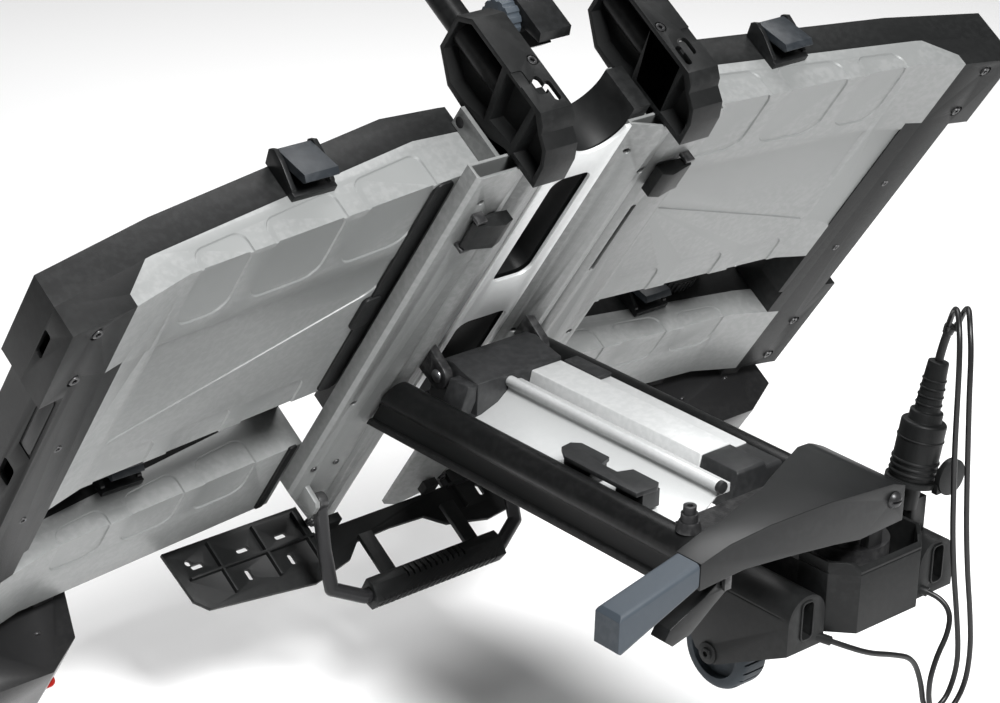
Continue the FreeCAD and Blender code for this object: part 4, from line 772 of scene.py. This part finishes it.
def wheel_cases():
    for side, sign in (("right", 1), ("left", -1)):
        case = copy_of(side + "_wheel_housing")
        groove = box(sign * 112.4, sign * 115, -20, 60, 3, 5)
        carve(case, [groove])
        finished(case, side + "_wheel_housing", 0.0016, 3, on_deck=False)
        rim = box(sign * 80.5, sign * 97.5, -32.4, -30.6, -22, 19, 6, "Y")
        carve(rim, [box(sign * 82.5, sign * 95.5, -40, -20, -20, 17, 4, "Y")])
        ring = disc((sign * 113.6, 67, -71), 11, 2.4, "X")
        head = screw((sign * 115.5, 67, -71), "X", 6)
        detail(side + "_case_trim", [rim, ring, head], "chassis", "black_moulding", on_deck=False)


def tyres():
    for side, sign in (("right", 1), ("left", -1)):
        wheel = copy_of(side + "_wheel")
        bpy.ops.object.select_all(action="DESELECT")
        for step in range(24):
            tread = box(sign * 89 - 18, sign * 89 + 18, -1.1, 1.1, 38.4, 42)
            turn = Matrix.Rotation(math.tau * step / 24, 4, "X")
            shift(tread, Matrix.Translation((0, 0.067, -0.071)) @ turn)
            carve(wheel, [tread])
        finished(wheel, side + "_wheel", 0.0007, on_deck=False)


def handle():
    grip = copy_of("lever_grip")
    finished(grip, "lever_grip", 0.0050, 5, on_deck=False)


def lever_shell():
    shell = copy_of("lever_cover")
    finished(shell, "lever_cover", 0.0032, 4, on_deck=False)


def plug_rings():
    axis = (Vector((102, 0, 194)) - Vector((80, 2, 80))).normalized()
    pieces = []
    for at, radius, thick in ((6, 22.4, 2.0), (12, 22.4, 2.0), (18, 22.4, 2.0), (40, 22.3, 1.2),
                              (74, 12.6, 1.2), (82, 12.2, 1.2), (90, 11.8, 1.2), (98, 11.3, 1.2)):
        spot = Vector((80, 2, 80)) + axis * at
        deselect()
        bpy.ops.mesh.primitive_torus_add(major_radius=(radius - thick / 2) / 1000, minor_radius=thick / 1000,
                                         major_segments=48, minor_segments=10)
        ring = bpy.context.active_object
        turn = axis.to_track_quat("Z", "Y").to_matrix().to_4x4()
        ring.matrix_world = Matrix.Translation(spot / 1000) @ turn
        shift(ring, Matrix.Identity(4))
        pieces.append(ring)
    detail("plug_rings", pieces, "chassis", "black_moulding", on_deck=False, width=0.0001)


# ------------------------------------------------------------------ CAD nodes with their finish
EDGE_WIDTH = {"black_tube": 0.0006, "steel": 0.0004, "dark_steel": 0.0006}


def finish_nodes():
    """Every remaining CAD node gets a copy with softened edges in its finish."""
    for name, node in frame["nodes"].items():
        node.data.materials.clear()
        node.data.materials.append(FINISHES[SLOTS[name]])
        if name in CORDS or name in DONE:
            continue
        finished(copy_of(name), name, EDGE_WIDTH.get(SLOTS[name], 0.0012), on_deck=False)


def lens_material():
    material, tree, shader = new_material("red lens")
    noise = add_node(tree, "ShaderNodeTexNoise", Scale=60.0, Detail=2.0)
    coordinates = add_node(tree, "ShaderNodeTexCoord")
    tree.links.new(coordinates.outputs["Object"], noise.inputs["Vector"])
    tint = add_node(tree, "ShaderNodeMix", data_type="RGBA")
    tint.inputs["A"].default_value = (0.22, 0.008, 0.006, 1)
    tint.inputs["B"].default_value = (0.34, 0.014, 0.010, 1)
    tree.links.new(noise.outputs["Fac"], tint.inputs["Factor"])
    tree.links.new(tint.outputs["Result"], shader.inputs["Base Color"])
    shader.inputs["Roughness"].default_value = 0.15
    shader.inputs["Coat Weight"].default_value = 0.5
    return material


LENS = lens_material()

set_camera()
add_cables()
set_studio()
tray_pans()
tray_tops()
end_caps()
inner_strips()
wing_screws()
beams()
brackets()
number_board()
pedal()
lamp_lens()
bolt_slots()
front_case()
wheel_cases()
tyres()
handle()
lever_shell()
plug_rings()
finish_nodes()
